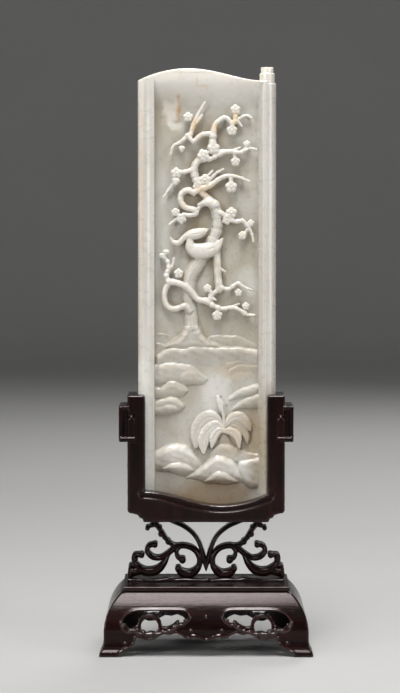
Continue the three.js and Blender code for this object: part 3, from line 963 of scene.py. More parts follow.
    def material(self, effects: SharedEffects) -> Material:
        """Builds the material.

        Args:
            effects: The shared shader groups.

        Returns:
            The material.
        """
        material, nodes, shader = new_material("polished jade")
        place = nodes.add("TexCoord").outputs["Object"]
        drift = nodes.use(effects.drift, {
            "Place": place, "Broad scale": 34.0, "Fine scale": 300.0, "Fine share": 0.02,
        })
        marks = nodes.use(effects.handling, {
            "Hollow from": 0.30, "Hollow to": 0.85, "Ridge from": 0.25, "Ridge to": 0.9,
            "Uneven scale": 160.0,
        })
        colour = self._tinted(nodes, effects, place, self._stone(nodes, place, drift))
        # Hollows are darkened by grime and by painted shade, from the written occlusion of each vertex.
        dirt_and_shade = nodes.product(marks.outputs["Hollow"], self.hollow_share)
        colour = nodes.mix(dirt_and_shade, colour, self.hollow_colour)
        nodes.feed(shader.inputs["Base Color"], colour)
        rough = nodes.span(drift.outputs["Fine"], 0.3, 0.7, self.roughness - 0.06, self.roughness + 0.08)
        dull = nodes.product(marks.outputs["Hollow"], self.hollow_roughness)
        nodes.feed(shader.inputs["Roughness"], nodes.math("ADD", rough, dull))
        bump = nodes.add("Bump", {"Height": drift.outputs["Fine"], "Distance": 0.00003, "Strength": 0.1})
        nodes.feed(shader.inputs["Normal"], bump.outputs[0])
        shader.inputs["IOR"].default_value = self.refraction
        shader.inputs["Subsurface Weight"].default_value = self.glow_weight
        shader.inputs["Subsurface Radius"].default_value = self.glow_colour
        shader.inputs["Subsurface Scale"].default_value = self.glow_depth
        return material

    def _stone(self, nodes: Nodes, place: Socket, drift: Node) -> Socket:
        """Colours the stone by how far it stands in front of the thin ground, painting the glow of thick jade
        on the relief and shade on the thin ground.

        Args:
            nodes: The material's nodes.
            place: The place on the surface.
            drift: The placed group of soft drifts.

        Returns:
            The socket of the stone's colour.
        """
        axes = nodes.add("SeparateXYZ", {0: place}).outputs

        def between(axis: str, ends: tuple[float, float]) -> Socket:
            """Goes from 0 to 1 between two places on an axis, in millimetres."""
            return nodes.span(axes[axis], ends[0] * MM, ends[1] * MM)

        # Painted glow and shade: the prouder the stone stands, the lighter it is painted; the thin ground is
        # painted darker.
        tree_part, low_proud = between("Z", self.tree_from), between("Y", self.low_relief)
        further = nodes.math("SUBTRACT", between("Y", self.high_relief), low_proud)
        proud = nodes.math("ADD", low_proud, nodes.product(tree_part, further))
        in_ground = nodes.product(between("X", self.left_edge), between("X", self.right_edge))
        ground = nodes.mix(drift.outputs["Drift"], self.ground_colour, self.ground_cloud)
        # Painted shadow: the ground is darkened towards brown where carved work stands in front of it and
        # around it.
        halo = nodes.add("Attribute", attribute_name="halo").outputs["Fac"]
        share = nodes.span(tree_part, 0.0, 1.0, self.low_halo, 1.0)
        near_relief = nodes.product(nodes.span(halo, *self.halo_span), share)
        ground = nodes.mix(near_relief, ground, self.painted_shadow_colour)
        carved = nodes.mix(proud, ground, self.relief_colour)
        cloudy = nodes.product(drift.outputs["Drift"], 0.8)
        plain = nodes.mix(cloudy, self.plain_colour, self.plain_cloud)
        return nodes.mix(in_ground, plain, carved)

    def _tinted(self, nodes: Nodes, effects: SharedEffects, place: Socket, colour: Socket) -> Socket:
        """Lays the patches, the stone's own tints and the painted light and shade, over a colour, one after
        another.

        Args:
            nodes: The material's nodes.
            effects: The shared shader groups.
            place: The place on the surface.
            colour: The colour below the patches.

        Returns:
            The socket of the patched colour.
        """
        for tint_patch in self.stains_and_painted_light:
            patch = nodes.use(effects.patch, {
                "Place": place, "Centre": Vector(tint_patch.centre) * MM,
                "Half size": Vector(tint_patch.half_size) * MM,
                "Ragged": tint_patch.ragged, "Ragged scale": tint_patch.ragged_scale,
            })
            colour = nodes.mix(nodes.product(patch.outputs["Mask"], tint_patch.strength), colour, tint_patch.colour)
        return colour


@dataclass(frozen=True)
class WaxedHardwood:
    """Dense purplish-brown hardwood with fine grain and an old wax polish."""

    grain_stretch: Point
    name: str
    dark: Colour = (0.0028, 0.0011, 0.0010)
    light: Colour = (0.022, 0.0050, 0.0042)
    worn: Colour = (0.050, 0.016, 0.013)
    # Dark tone for the pores, and for the hollows, where it stands for old wax and grime and for painted
    # shade.
    dust_and_shade: Colour = (0.0030, 0.0017, 0.0015)
    streaks: float = 0.6
    drifts: float = 0.45
    pores: float = 0.5
    wear: float = 0.3
    dust_and_shade_share: float = 0.8
    roughness: float = 0.19
    dust_roughness: float = 0.3
    wear_polish: float = 0.06
    bump: float = 0.32
    specular: float = 0.23
    specular_tint: Colour = (1.0, 0.84, 0.84)
    ridge_coat: float = 0.9
    coat_roughness: float = 0.14

    def material(self, effects: SharedEffects) -> Material:
        """Builds the material.

        Args:
            effects: The shared shader groups.

        Returns:
            The material.
        """
        material, nodes, shader = new_material(self.name)
        place = nodes.add("TexCoord").outputs["Object"]
        grain = nodes.use(effects.grain, {"Place": place, "Stretch": self.grain_stretch})
        drift = nodes.use(effects.drift, {
            "Place": place, "Broad scale": 55.0, "Fine scale": 900.0, "Fine share": 0.35,
        })
        marks = nodes.use(effects.handling, {
            "Hollow from": 0.25, "Hollow to": 0.8, "Ridge from": 0.12, "Ridge to": 0.55,
            "Uneven scale": 260.0,
        })
        streak, pores = grain.outputs["Streak"], grain.outputs["Pores"]
        hollow, ridge = marks.outputs["Hollow"], marks.outputs["Ridge"]
        colour = nodes.mix(nodes.product(streak, self.streaks), self.dark, self.light)
        # The hollow layer darkens the crevices with grime and with painted shade.
        layers = (
            (drift.outputs["Drift"], self.drifts, self.dark), (pores, self.pores, self.dust_and_shade),
            (ridge, self.wear, self.worn), (hollow, self.dust_and_shade_share, self.dust_and_shade),
        )
        for mask, share, layer in layers:
            colour = nodes.mix(nodes.product(mask, share), colour, layer)
        nodes.feed(shader.inputs["Base Color"], colour)
        rough = nodes.span(drift.outputs["Fine"], 0.3, 0.7, self.roughness - 0.02, self.roughness + 0.05)
        rough = nodes.math("ADD", rough, nodes.product(hollow, self.dust_roughness))
        rough = nodes.math("SUBTRACT", rough, nodes.product(ridge, self.wear_polish))
        nodes.feed(shader.inputs["Roughness"], rough)
        height = nodes.math("SUBTRACT", streak, pores)
        bump = nodes.add("Bump", {"Height": height, "Distance": 0.00004, "Strength": self.bump})
        nodes.feed(shader.inputs["Normal"], bump.outputs[0])
        nodes.feed(shader.inputs["Coat Weight"], nodes.product(ridge, self.ridge_coat))
        shader.inputs["Specular IOR Level"].default_value = self.specular
        shader.inputs["Specular Tint"].default_value = (*self.specular_tint, 1.0)
        shader.inputs["Coat Roughness"].default_value = self.coat_roughness
        return material


@dataclass(frozen=True)
class PaleFloor:
    """The plain pale surface that the object stands on."""

    colour: Colour = (0.43, 0.425, 0.417)
    deeper: float = 0.96
    roughness: float = 0.7

    def material(self, effects: SharedEffects) -> Material:
        """Builds the material.

        Args:
            effects: The shared shader groups.

        Returns:
            The material.
        """
        material, nodes, shader = new_material("pale floor")
        place = nodes.add("TexCoord").outputs["Object"]
        drift = nodes.use(effects.drift, {"Place": place, "Broad scale": 3.0, "Fine scale": 60.0})
        deep = tuple(self.deeper * c for c in self.colour)
        nodes.feed(shader.inputs["Base Color"], nodes.mix(drift.outputs["Drift"], self.colour, deep))
        shader.inputs["Roughness"].default_value = self.roughness
        return material


# ---- the scroll's wavy edges


@dataclass(frozen=True)
class WavyEdge:
    """The scroll's wavy edge: a gentle bow on its short side, a long reverse curve on the other."""

    crest_x: float
    crest_z: float
    turned_over: bool = False
    bow: float = 0.011
    sweep: float = 3.25
    sweep_reach: float = 36.0

    def height(self, x: Array) -> Array:
        """The edge's z at x."""
        away = (self.crest_x - x) if self.turned_over else (x - self.crest_x)
        swept = self.sweep * (1 - np.cos(np.pi * np.clip(away, 0, self.sweep_reach) / self.sweep_reach))
        fall = np.where(away < 0, self.bow * away**2, swept)
        return self.crest_z + fall if self.turned_over else self.crest_z - fall

    def run(self, start: float, end: float, lift: float = 0.0, steps: int = 40) -> list[Point]:
        """Points along the edge from one x to another, lifted by a little."""
        return [(x, float(self.height(np.array(x))) + lift) for x in np.linspace(start, end, steps)]


# ---- the plaque's tree


@dataclass(frozen=True)
class Branch:
    """A limb of the tree: its route in x and z, radii, and how far in front it runs.

    A route whose points have a third value gives its own radii, and the root and tip stay at zero.
    """

    route: Route
    root: float
    tip: float
    y_root: float = -2.7
    y_tip: float = -3.2
    flat: float = 1.0
    knots: float = 0.11

    def run(self) -> tuple[Array, Array]:
        """Works out the branch's smooth route.

        Returns:
            Rows of x, y and z, and the radius at each row.
        """
        smooth = smooth_route(self.route, 4)
        t = np.linspace(0, 1, len(smooth))
        radii = smooth[:, 2] if smooth.shape[1] > 2 else self.root + (self.tip - self.root) * t
        depth = self.y_root + (self.y_tip - self.y_root) * t
        return np.column_stack([smooth[:, 0], depth, smooth[:, 1]]), radii

    def form(self) -> Form:
        """The branch as a knotty, tapering limb."""
        path, radii = self.run()
        step = np.arange(len(path))
        broad = np.sin(2.3 * step + self.route[0][0])
        fine = 0.7 * np.sin(3.9 * step + self.route[0][1])
        knots = 1 + self.knots * (broad + fine)
        knots[-2:] = 1
        return limb(path, radii * knots, self.flat)


@dataclass(frozen=True)
class Blossom:
    """A prunus blossom, or a bud of three petals: its place, radius, petals and turn."""

    x: float
    z: float
    radius: float
    petals: int = 5
    turn: float = 20.0
    y: float = -3.1


TRUNKS = (
    Branch(((0.3, 183, 2.8), (-1.6, 180, 2.9), (-4.8, 175.6, 3.6), (-7.6, 170.4, 3.4), (-8, 163, 3.1),
            (-7.3, 156, 3), (-6.6, 151, 3.2), (-6.5, 147.4, 3.1), (-6.4, 144.6, 2.6)),
           0, 0, -0.7, -0.4, 0.72),
    Branch(((3.2, 204.4, 2.3), (4.6, 201.6, 2.5), (5.1, 198.6, 2.5), (5.1, 193.1, 2.5), (3, 187.6, 2.7),
            (0.6, 182.5, 2.9)), 0, 0, -1.9, -1.1, 0.85),
    Branch(((4.2, 203.8, 2.4), (2.2, 205, 2.3), (0.2, 205.2, 1.9), (-1.8, 204.6, 1.2), (-3.6, 204.2, 0.6)),
           0, 0, -2.3, -2.6, 0.95),
    Branch(((-2.6, 210.4), (-0.6, 208.4), (1.6, 206.6)), 1.5, 1.6, -1.9, -1.9),
    Branch(((4.6, 184), (5.2, 178), (5.4, 172), (6, 165.2)), 1.8, 1.8, -1.5, -2, 0.95),
    Branch(((0.6, 225.4), (-3.6, 224.2), (-5.4, 221), (-5.2, 217.6), (-3.6, 213.4)), 1.5, 2, -2.3, -2.2),
    Branch(((3.4, 238), (3, 233), (3.4, 229)), 1.6, 2, -2.5, -2.5),
    Branch(((-7.8, 148, 1.6), (-9.6, 144.2, 1.5), (-12.6, 140.6, 0.8)), 0, 0, -1.4, -1.7, 0.9),
    Branch(((-5.2, 148, 1.6), (-3.4, 144.2, 1.5), (0.2, 140.4, 0.8)), 0, 0, -1.4, -1.7, 0.9),
)

BRANCHES = (
    Branch(((-7.5, 235.2), (-6.2, 239.4), (-5.5, 241.9), (-3.2, 246.2), (-0.6, 250.8)), 1.15, 0.6),
    Branch(((-5.6, 240.6), (-3.9, 242.2), (-1.9, 244.9)), 1.05, 0.65),
    Branch(((3.4, 236.6), (1.2, 236.6), (-2.2, 236.1), (-5.2, 233.5), (-6.2, 233.2), (-8.7, 236)), 1.2, 1),
    Branch(((-8.3, 235.7), (-12.3, 232.4), (-15, 231.1), (-16.2, 227.4)), 0.95, 0.55),
    Branch(((3.2, 236), (4.2, 240.8), (8.3, 243.9), (11, 242.2), (12.2, 239.4)), 1.3, 0.95),
    Branch(((13.5, 247.2), (13.3, 243.4), (12.1, 240.6)), 1.1, 0.9),
    Branch(((13.6, 242), (15.9, 243.9), (18.4, 244.9), (20.8, 243.9)), 0.85, 0.6),
    Branch(((13.8, 243), (15.2, 241.4), (16.3, 240)), 0.8, 0.5),
    Branch(((3.6, 228.6), (7.4, 228.3), (11.4, 228.5), (15.3, 228), (18.6, 229.4)), 1.35, 0.9),
    Branch(((17.4, 229), (20.2, 229.9), (23, 229.4)), 0.75, 0.5),
    Branch(((10.6, 228.6), (13.2, 229.3), (15.4, 230.2)), 0.75, 0.55),
    Branch(((-2.4, 224.8), (1.4, 225), (4.8, 226.4), (8.4, 228.2)), 1.3, 1.1),
    Branch(((17.8, 229), (18.6, 231.9)), 0.8, 0.8),
    Branch(((12.8, 228.5), (13.4, 224.4)), 0.9, 0.8),
    Branch(((-5.3, 221.2), (-8.2, 219.4), (-11.6, 219), (-13.8, 218)), 1.15, 1),
    Branch(((-14.6, 214.8), (-16.7, 211.5), (-19.6, 207.6)), 0.75, 0.5),
    Branch(((-1.6, 215.8), (1, 217.6), (2.8, 219.6)), 0.9, 0.6),
    Branch(((1.2, 214.8), (4.2, 218.2), (7.8, 220.4)), 0.9, 0.55),
    Branch(((-2.6, 211.4), (1.6, 212.8), (6.6, 216.3), (10.2, 217.4), (14, 217), (19.7, 214.9)), 1.5, 0.6),
    Branch(((11.2, 217), (11.5, 213)), 0.95, 0.9),
    Branch(((-2.6, 211.6), (-5.6, 209.8), (-8.4, 210.8), (-11.2, 209.2), (-11.6, 205.8), (-9.4, 202.9),
            (-5.4, 201.9)), 1.5, 1.3, -2.8, -2.8),
    Branch(((-6.2, 202), (-4.4, 200.2), (-7.2, 199.3), (-10.4, 199.6)), 1.3, 1, -2.7, -3),
    Branch(((-4.4, 201), (-2.8, 203.4), (-0.6, 204.4)), 1, 0.9, -2.4, -2.2),
    Branch(((-13.4, 197.8), (-16.9, 195.1)), 0.7, 0.5),
    Branch(((5.4, 200.8), (9.6, 198.8), (13.2, 196.4), (16.6, 196.8), (19.3, 193.8), (21, 190.6),
            (21.6, 187.2)), 1.4, 0.55),
    Branch(((17.8, 195.4), (19.6, 193.8), (20.5, 195.4)), 0.9, 0.8),
    Branch(((19.4, 193.2), (17.2, 190.4)), 0.8, 0.75),
    Branch(((-20.2, 181), (-17.6, 178), (-17.3, 174.6), (-18.2, 171.6), (-16.8, 168.2)), 0.9, 1.3),
    Branch(((-16.9, 174.6), (-15.4, 176.2), (-14.8, 179.5)), 0.8, 0.5),
    Branch(((-17.2, 168.9), (-13.6, 168.4), (-9.4, 166.6), (-6.5, 164), (-4, 160.8), (0, 159.9)), 1.5, 1.4,
           -3.1, -3.1),
    Branch(((0, 159.9), (3.6, 157.7), (7.6, 156.3), (12, 156.9), (16, 155.6), (18.8, 153.7), (22.1, 153.5)),
           1.35, 0.6),
    Branch(((10.4, 156.6), (13.6, 158), (15, 158.6)), 0.7, 0.5),
    Branch(((-1, 160.2), (2.4, 161.2), (4.4, 160.4)), 1.2, 0.5),
    Branch(((2, 160.4), (2.6, 163.2), (1.2, 165.6)), 1, 0.8),
    Branch(((6, 157), (5.2, 154.4)), 0.9, 0.9),
    Branch(((-16.9, 168.4), (-18.8, 165), (-19, 160.4), (-17.5, 157.2), (-14.4, 156.2), (-9.6, 157.6),
            (-7.6, 155.4)), 1.25, 1.5, -3.0, -2.2),
    Branch(((6.4, 166.4), (10.4, 165.4), (14.4, 168.1), (17.3, 166.4), (20.7, 165)), 1.15, 0.6, -2.6, -3.1),
    Branch(((6.2, 165.8), (3.9, 163.8), (1.6, 162.6)), 1.1, 0.8, -2.4, -2.8),
    Branch(((5.8, 175.2), (7.4, 174.2), (8.9, 173.4)), 1, 0.45, -2.2, -2.6),
)

BLOSSOMS = (
    Blossom(-8.2, 244.2, 2.3), Blossom(-11.2, 229.8, 1.55, petals=3),
    Blossom(11.8, 238.2, 2.45), Blossom(13.4, 247.6, 2.3),
    Blossom(3.4, 229.9, 2.9, y=-3.4), Blossom(-1.2, 226.8, 2.8, turn=45, y=-3.4), Blossom(18.6, 231.9, 1.65),
    Blossom(13.4, 223.8, 2.2), Blossom(-13.7, 218.6, 2.5), Blossom(-13.9, 214.9, 1.9, petals=3),
    Blossom(-0.6, 215.4, 2.7), Blossom(-3.9, 212.6, 2.3, turn=50),
    Blossom(11.5, 212.3, 2.75), Blossom(-14, 200.6, 2), Blossom(-11.4, 197.8, 2.4, turn=50),
    Blossom(11.6, 200.4, 2.6), Blossom(9.6, 197.2, 2.3, turn=60), Blossom(20.4, 195.7, 1.65),
    Blossom(16.6, 190, 2), Blossom(-18.4, 182.2, 1.5, petals=3), Blossom(-20.4, 180.8, 1.2, petals=3),
    Blossom(-12.6, 172.6, 2.2), Blossom(0.6, 165.8, 1.9), Blossom(5.1, 153.3, 2.35),
    Blossom(18.2, 157.6, 1.75), Blossom(17.6, 154.6, 1.3, petals=3), Blossom(14.8, 163.8, 1.75),
)


@dataclass(frozen=True)
class PrunusTree:
    """The tree in high relief: trunks with bark, branches that stand clear of the ground, blossoms."""

    ground_y: float
    trunk_blend: float = 0.8
    branch_blend: float = 0.35
    furrow: float = 0.2
    furrow_sides: tuple[float, ...] = (-0.62, -0.2, 0.28, 0.68)
    furrowed: tuple[int, ...] = (0, 1, 4, 5)
    knot_holes: tuple[Point, ...] = ((-1.6, 207.2, 0.45), (-5.2, 141.4, 0.4), (-2.4, 140.9, 0.35))
    struts: Route = (
        (-6, 241), (-12.4, 232.4), (8.4, 243.6), (7.6, 228.3), (19.6, 244.6), (-8.6, 219.4),
        (9.6, 217.2), (16.6, 216.2), (-10.8, 208.6), (14.6, 196.5), (-18, 171.6), (-18.9, 161),
        (9.8, 156.6), (19.4, 153.7), (11.8, 166.4), (-2, 160.4), (-17.2, 210.6), (5.6, 219.2),
    )

    def carve(self, carving: Carving) -> None:
        """Leaves the whole tree standing on the carving's ground.

        Args:
            carving: The solid being carved.
        """
        for trunk in TRUNKS:
            carving.add(trunk.form(), self.trunk_blend)
        for number in self.furrowed:
            self._bark(carving, TRUNKS[number])
        for x, z, radius in self.knot_holes:
            carving.cut(egg((x, -3.3, z), (radius, 1.1, radius * 1.3)), 0.3)
        for branch in BRANCHES:
            carving.add(branch.form(), self.branch_blend)
        for x, z in self.struts:
            carving.add(post(x, z, (self.ground_y + 0.6, -2.6), (0.9, 0.55)), 0.5)
        for blossom in BLOSSOMS:
            self._blossom(carving, blossom)

    def _bark(self, carving: Carving, trunk: Branch) -> None:
        """Cuts long shallow furrows in a trunk.

        Args:
            carving: The solid being carved.
            trunk: The trunk.
        """
        path, radii = trunk.run()
        t = np.linspace(0, 1, len(path))
        along = np.gradient(path[:, (0, 2)], axis=0)
        along /= np.linalg.norm(along, axis=1)[:, None]
        for number, side in enumerate(self.furrow_sides):
            sway = side + 0.10 * np.sin(9 * t + 2 * number)
            x = path[:, 0] + along[:, 1] * radii * sway
            z = path[:, 2] - along[:, 0] * radii * sway
            y = path[:, 1] - radii * trunk.flat * np.sqrt(1 - sway**2) * 1.05
            keep = slice(1 + number % 2, len(path) - 1 - number % 3)
            furrow = np.column_stack([x, y, z])[keep]
            carving.cut(limb(furrow, np.full(len(furrow), self.furrow)), 0.35)

    def _blossom(self, carving: Carving, blossom: Blossom) -> None:
        """Leaves one blossom standing, with cupped petals around a beaded centre.

        Args:
            carving: The solid being carved.
            blossom: The blossom.
        """
        r, y = blossom.radius, blossom.y
        is_bud = blossom.petals <= 3
        carving.add(post(blossom.x, blossom.z, (self.ground_y + 0.5, y), (0.5 * r, 0.42 * r)), 0.4)
        spread, size = (0.36 * r, 0.7 * r) if is_bud else (0.53 * r, 0.52 * r)
        for number in range(blossom.petals):
            angle = math.radians(blossom.turn + 360 * number / blossom.petals)
            centre = (blossom.x + spread * math.cos(angle), y, blossom.z + spread * math.sin(angle))
            carving.add(egg(centre, (size, 0.55 * size + 0.3, size)), 0.22)
        if not is_bud:
            front = y - 0.33 * r - 0.3
            carving.cut(egg((blossom.x, front - 0.15, blossom.z), (0.34 * r, 0.45, 0.34 * r)), 0.25)
            carving.add(egg((blossom.x, front + 0.2, blossom.z), (0.2 * r, 0.38, 0.2 * r)), 0.1)


@dataclass(frozen=True)
class Bird:
    """The bird perched in the tree, with its raised wing and long curved crest."""

    body: Route = ((-7.2, 187.2, 1.3), (-7.0, 184.6, 2.6), (-4.4, 183.0, 3.5), (-0.8, 182.9, 3.7),
                   (2.8, 183.9, 3.2), (5.4, 185.6, 1.9), (7.5, 188.6, 0.5))
    neck: Route = ((-7.3, 185.4, 1.9), (-7.5, 188.4, 1.5), (-6.8, 190.6, 1.6))
    wing: Route = ((-8.4, 190.0, 1.7), (-6.4, 190.4, 2.5), (-4.0, 190.9, 2.5), (-1.6, 191.7, 1.8),
                   (1.0, 192.9, 0.35))
    crest: Route = ((-7.6, 190.7, 1.6), (-10.2, 189.0, 1.35), (-12.2, 187.0, 1.2), (-14.4, 186.6, 1.1),
                    (-16.4, 189.0, 0.4))
    feathers: tuple[Route, ...] = (
        ((-6.6, 191.6), (-3.6, 192.4), (-0.6, 192.9)),
        ((-6.4, 190.5), (-3.8, 190.9), (-1.2, 191.9)),
        ((1.6, 185.4), (4.2, 186), (6.4, 187.8)),
        ((1.2, 183.6), (3.8, 184.6), (5.9, 186.6)),
    )
    feather_line: float = 0.25
    struts: Route = ((-7.4, 187), (-14.4, 186.8), (-3, 191.2))
    depth: float = -2.7

    def carve(self, carving: Carving) -> None:
        """Leaves the bird standing in front of the trunk, with fine feather lines cut in it.

        Args:
            carving: The solid being carved.
        """
        parts = ((self.body, 0.55, 0.6), (self.neck, 0.8, 0.5), (self.wing, 0.7, 0.3), (self.crest, 0.8, 0.3))
        for route, flat, blend in parts:
            run = smooth_route(route, 5)
            path = np.column_stack([run[:, 0], np.full(len(run), self.depth), run[:, 1]])
            carving.add(limb(path, run[:, 2], flat), blend)
        for x, z in self.struts:
            carving.add(post(x, z, (0.4, self.depth), (0.9, 0.8)), 0.5)
        for line in self.feathers:
            run = smooth_route(line, 4)
            path = np.column_stack([run[:, 0], np.full(len(run), self.depth - 1.75), run[:, 1]])
            carving.cut(limb(path, np.full(len(run), self.feather_line)), self.feather_line)


# ---- the plaque's landscape


class Landscape:
    """Low relief below the tree, as a height in front of the ground on the carving's grid."""

    def __init__(self, carving: Carving, left: float, right: float, low: float, high: float) -> None:
        """Takes the flat ground between two sides, from one height to another.

        Args:
            carving: The solid whose grid the relief is drawn on.
            left: Its lowest x.
            right: Its highest x.
            low: Its lowest z.
            high: Its highest z.
        """
        self.cuts, (x, _, z) = carving.window((left, 0, low), (right, 0, high), 0)
        self.x, self.z = x[:, 0, :], z[0, :, :]
        self.cell = carving.cell
        self.height = np.zeros(np.broadcast_shapes(self.x.shape, self.z.shape), np.float32)
        x, z = self.x, self.z
        self.swayed_x = x + 0.25 * np.sin(0.7 * z + 1.3) + 0.1 * np.sin(1.8 * z + 0.7 * x)
        self.swayed_z = z + 0.2 * np.sin(0.6 * x + 2.0) + 0.1 * np.sin(1.6 * x - 0.6 * z)
        self.unevenness = np.sin(1.3 * x + 0.7 * z) * np.sin(1.1 * z - 0.5 * x)

    def raise_to(self, height: Array) -> None:
        """Leaves the higher of what stands and a new height."""
        self.height = np.maximum(self.height, height)

    def rock(
        self, outline: Route, proud: float, rim: float, recede: float = 0.9, folds: float = 0.03
    ) -> None:
        """Raises a boulder or bank with a rounded rim that leans back towards its foot.

        Args:
            outline: Points around it.
            proud: Height of its rim.
            rim: Width of the rounded rim.
            recede: How much of the height is lost at its foot.
            folds: Height of the soft folds that follow its rim.
        """
        edge = smooth_route(outline, 5, closed=True)
        inward = -outline_distance(edge, self.swayed_x, self.swayed_z)
        top, foot = edge[:, 1].max(), edge[:, 1].min()
        share = np.clip((top - self.z) / (top - foot), 0, 1)
        rounded = np.sqrt(1 - (1 - np.clip(inward / (1.5 * rim), 0, 1)) ** 2)
        lean = 1 - recede * share**1.2
        ripple = (folds * np.cos(inward * 2.2) + 0.08 * self.unevenness) * ease(inward, 0.6, 2.0)
        self.raise_to(np.where(inward > 0, proud * rounded * lean + ripple, 0))

    def shore(self, crest: Route, drop: float, proud: float, foot: float = 0.2) -> None:
        """Raises a long bank with a crisp crest whose face falls away below it.

        Args:
            crest: Points along the crest, from left to right.
            drop: How far below the crest its face reaches.
            proud: Height of the crest.
            foot: Share of the height that is left at the foot.
        """
        run = smooth_route(crest, 6)
        line = np.interp(self.x[:, 0], run[:, 0], run[:, 1])[:, None]
        line = line + 0.14 * np.sin(0.9 * self.x + 0.5) + 0.05 * np.sin(2.3 * self.x)
        below = line - self.z
        rounded = np.sqrt(1 - (1 - np.clip(below / min(3.0, 0.7 * drop), 0, 1)) ** 2)
        rounded = rounded * (1 + 0.06 * self.unevenness)
        fall = 1 - (1 - foot) * np.clip(below / drop, 0, 1) ** 0.8
        fade = ease(below, drop + 1.5, drop)
        left, right = run[0, 0], run[-1, 0]
        ends = ease(self.x, left - 0.2, left + 2.0) * ease(self.x, right + 0.2, right - 2.0)
        self.raise_to(np.where(below > 0, proud * rounded * fall * fade * ends, 0))

    def leaf(self, route: Route, base: float, crown: float, ribs: float = 3.2) -> None:
        """Raises a drooping plantain leaf with a middle rib and ribs across it.

        Args:
            route: Rows of x, z and half width along the middle rib.
            base: Height of the leaf's edge over the ground.
            crown: How much its middle swells.
            ribs: Ribs across the leaf for each two millimetres.
        """
        run = smooth_route(route, 6)
        gap = np.full(self.height.shape, FAR, np.float32)
        offset, place, width = gap.copy(), gap.copy(), gap.copy()
        travelled = 0.0
        for (ax, az, ar), (bx, bz, br) in zip(run, run[1:]):
            length = math.hypot(bx - ax, bz - az)
            along_x, along_z = (bx - ax) / length, (bz - az) / length
            px, pz = self.x - ax, self.z - az
            along = np.clip(px * along_x + pz * along_z, 0, length)
            away = np.hypot(px - along * along_x, pz - along * along_z)
            here = ar + (br - ar) * along / length
            nearer = away - here < gap
            gap = np.where(nearer, away - here, gap)
            offset = np.where(nearer, px * along_z - pz * along_x, offset)
            place = np.where(nearer, travelled + along, place)
            width = np.where(nearer, here, width)
            travelled += length
        share = np.clip(offset / np.maximum(width, 0.1), -1, 1)
        swell = base + crown * np.sqrt(1 - share**2 * 0.95)
        rib = -0.2 * np.exp(-((offset / 0.3) ** 2))
        across = 0.05 * np.cos(ribs * (place - 0.7 * np.abs(offset))) * np.clip(np.abs(share) * 3, 0, 1)
        rim = np.sqrt(np.clip(1 - (1 - np.clip(-gap / 0.45, 0, 1)) ** 2, 0, 1))
        self.raise_to(np.where(gap < 0, (swell + rib + across) * rim, 0))

    def form(self, ground_y: float, back_y: float) -> Form:
        """The relief as a form that stands in front of the ground.

        Args:
            ground_y: The y of the ground.
            back_y: The y of the form's back.

        Returns:
            The form.
        """
        front = ground_y - self.height
        across, up = np.gradient(front, self.cell)
        steep = np.sqrt(1 + np.minimum(across**2 + up**2, 30))
        low = (float(self.x[0, 0]), float(front.min()), float(self.z[0, 0]))
        high = (float(self.x[-1, 0]), back_y, float(self.z[0, -1]))

        def distance(x: Array, y: Array, z: Array) -> Array:
            """Distance to the relief's face, on the grid that it was drawn on."""
            rows = np.searchsorted(self.x[:, 0], x[:, 0, 0])
            columns = np.searchsorted(self.z[0], z[0, 0])
            inside_x = (rows < len(self.x)) & (x[:, 0, 0] >= low[0])
            inside_z = (columns < self.z.shape[1]) & (z[0, 0] >= low[2])
            place = np.ix_(np.minimum(rows, len(self.x) - 1), np.minimum(columns, self.z.shape[1] - 1))
            face = (front[place][:, None, :] - y) / steep[place][:, None, :]
            outside = ~(inside_x[:, None, None] & inside_z[None, None, :])
            return np.where(outside, FAR, np.maximum(face, y - back_y)).astype(np.float32)

        return Form(low, high, distance)


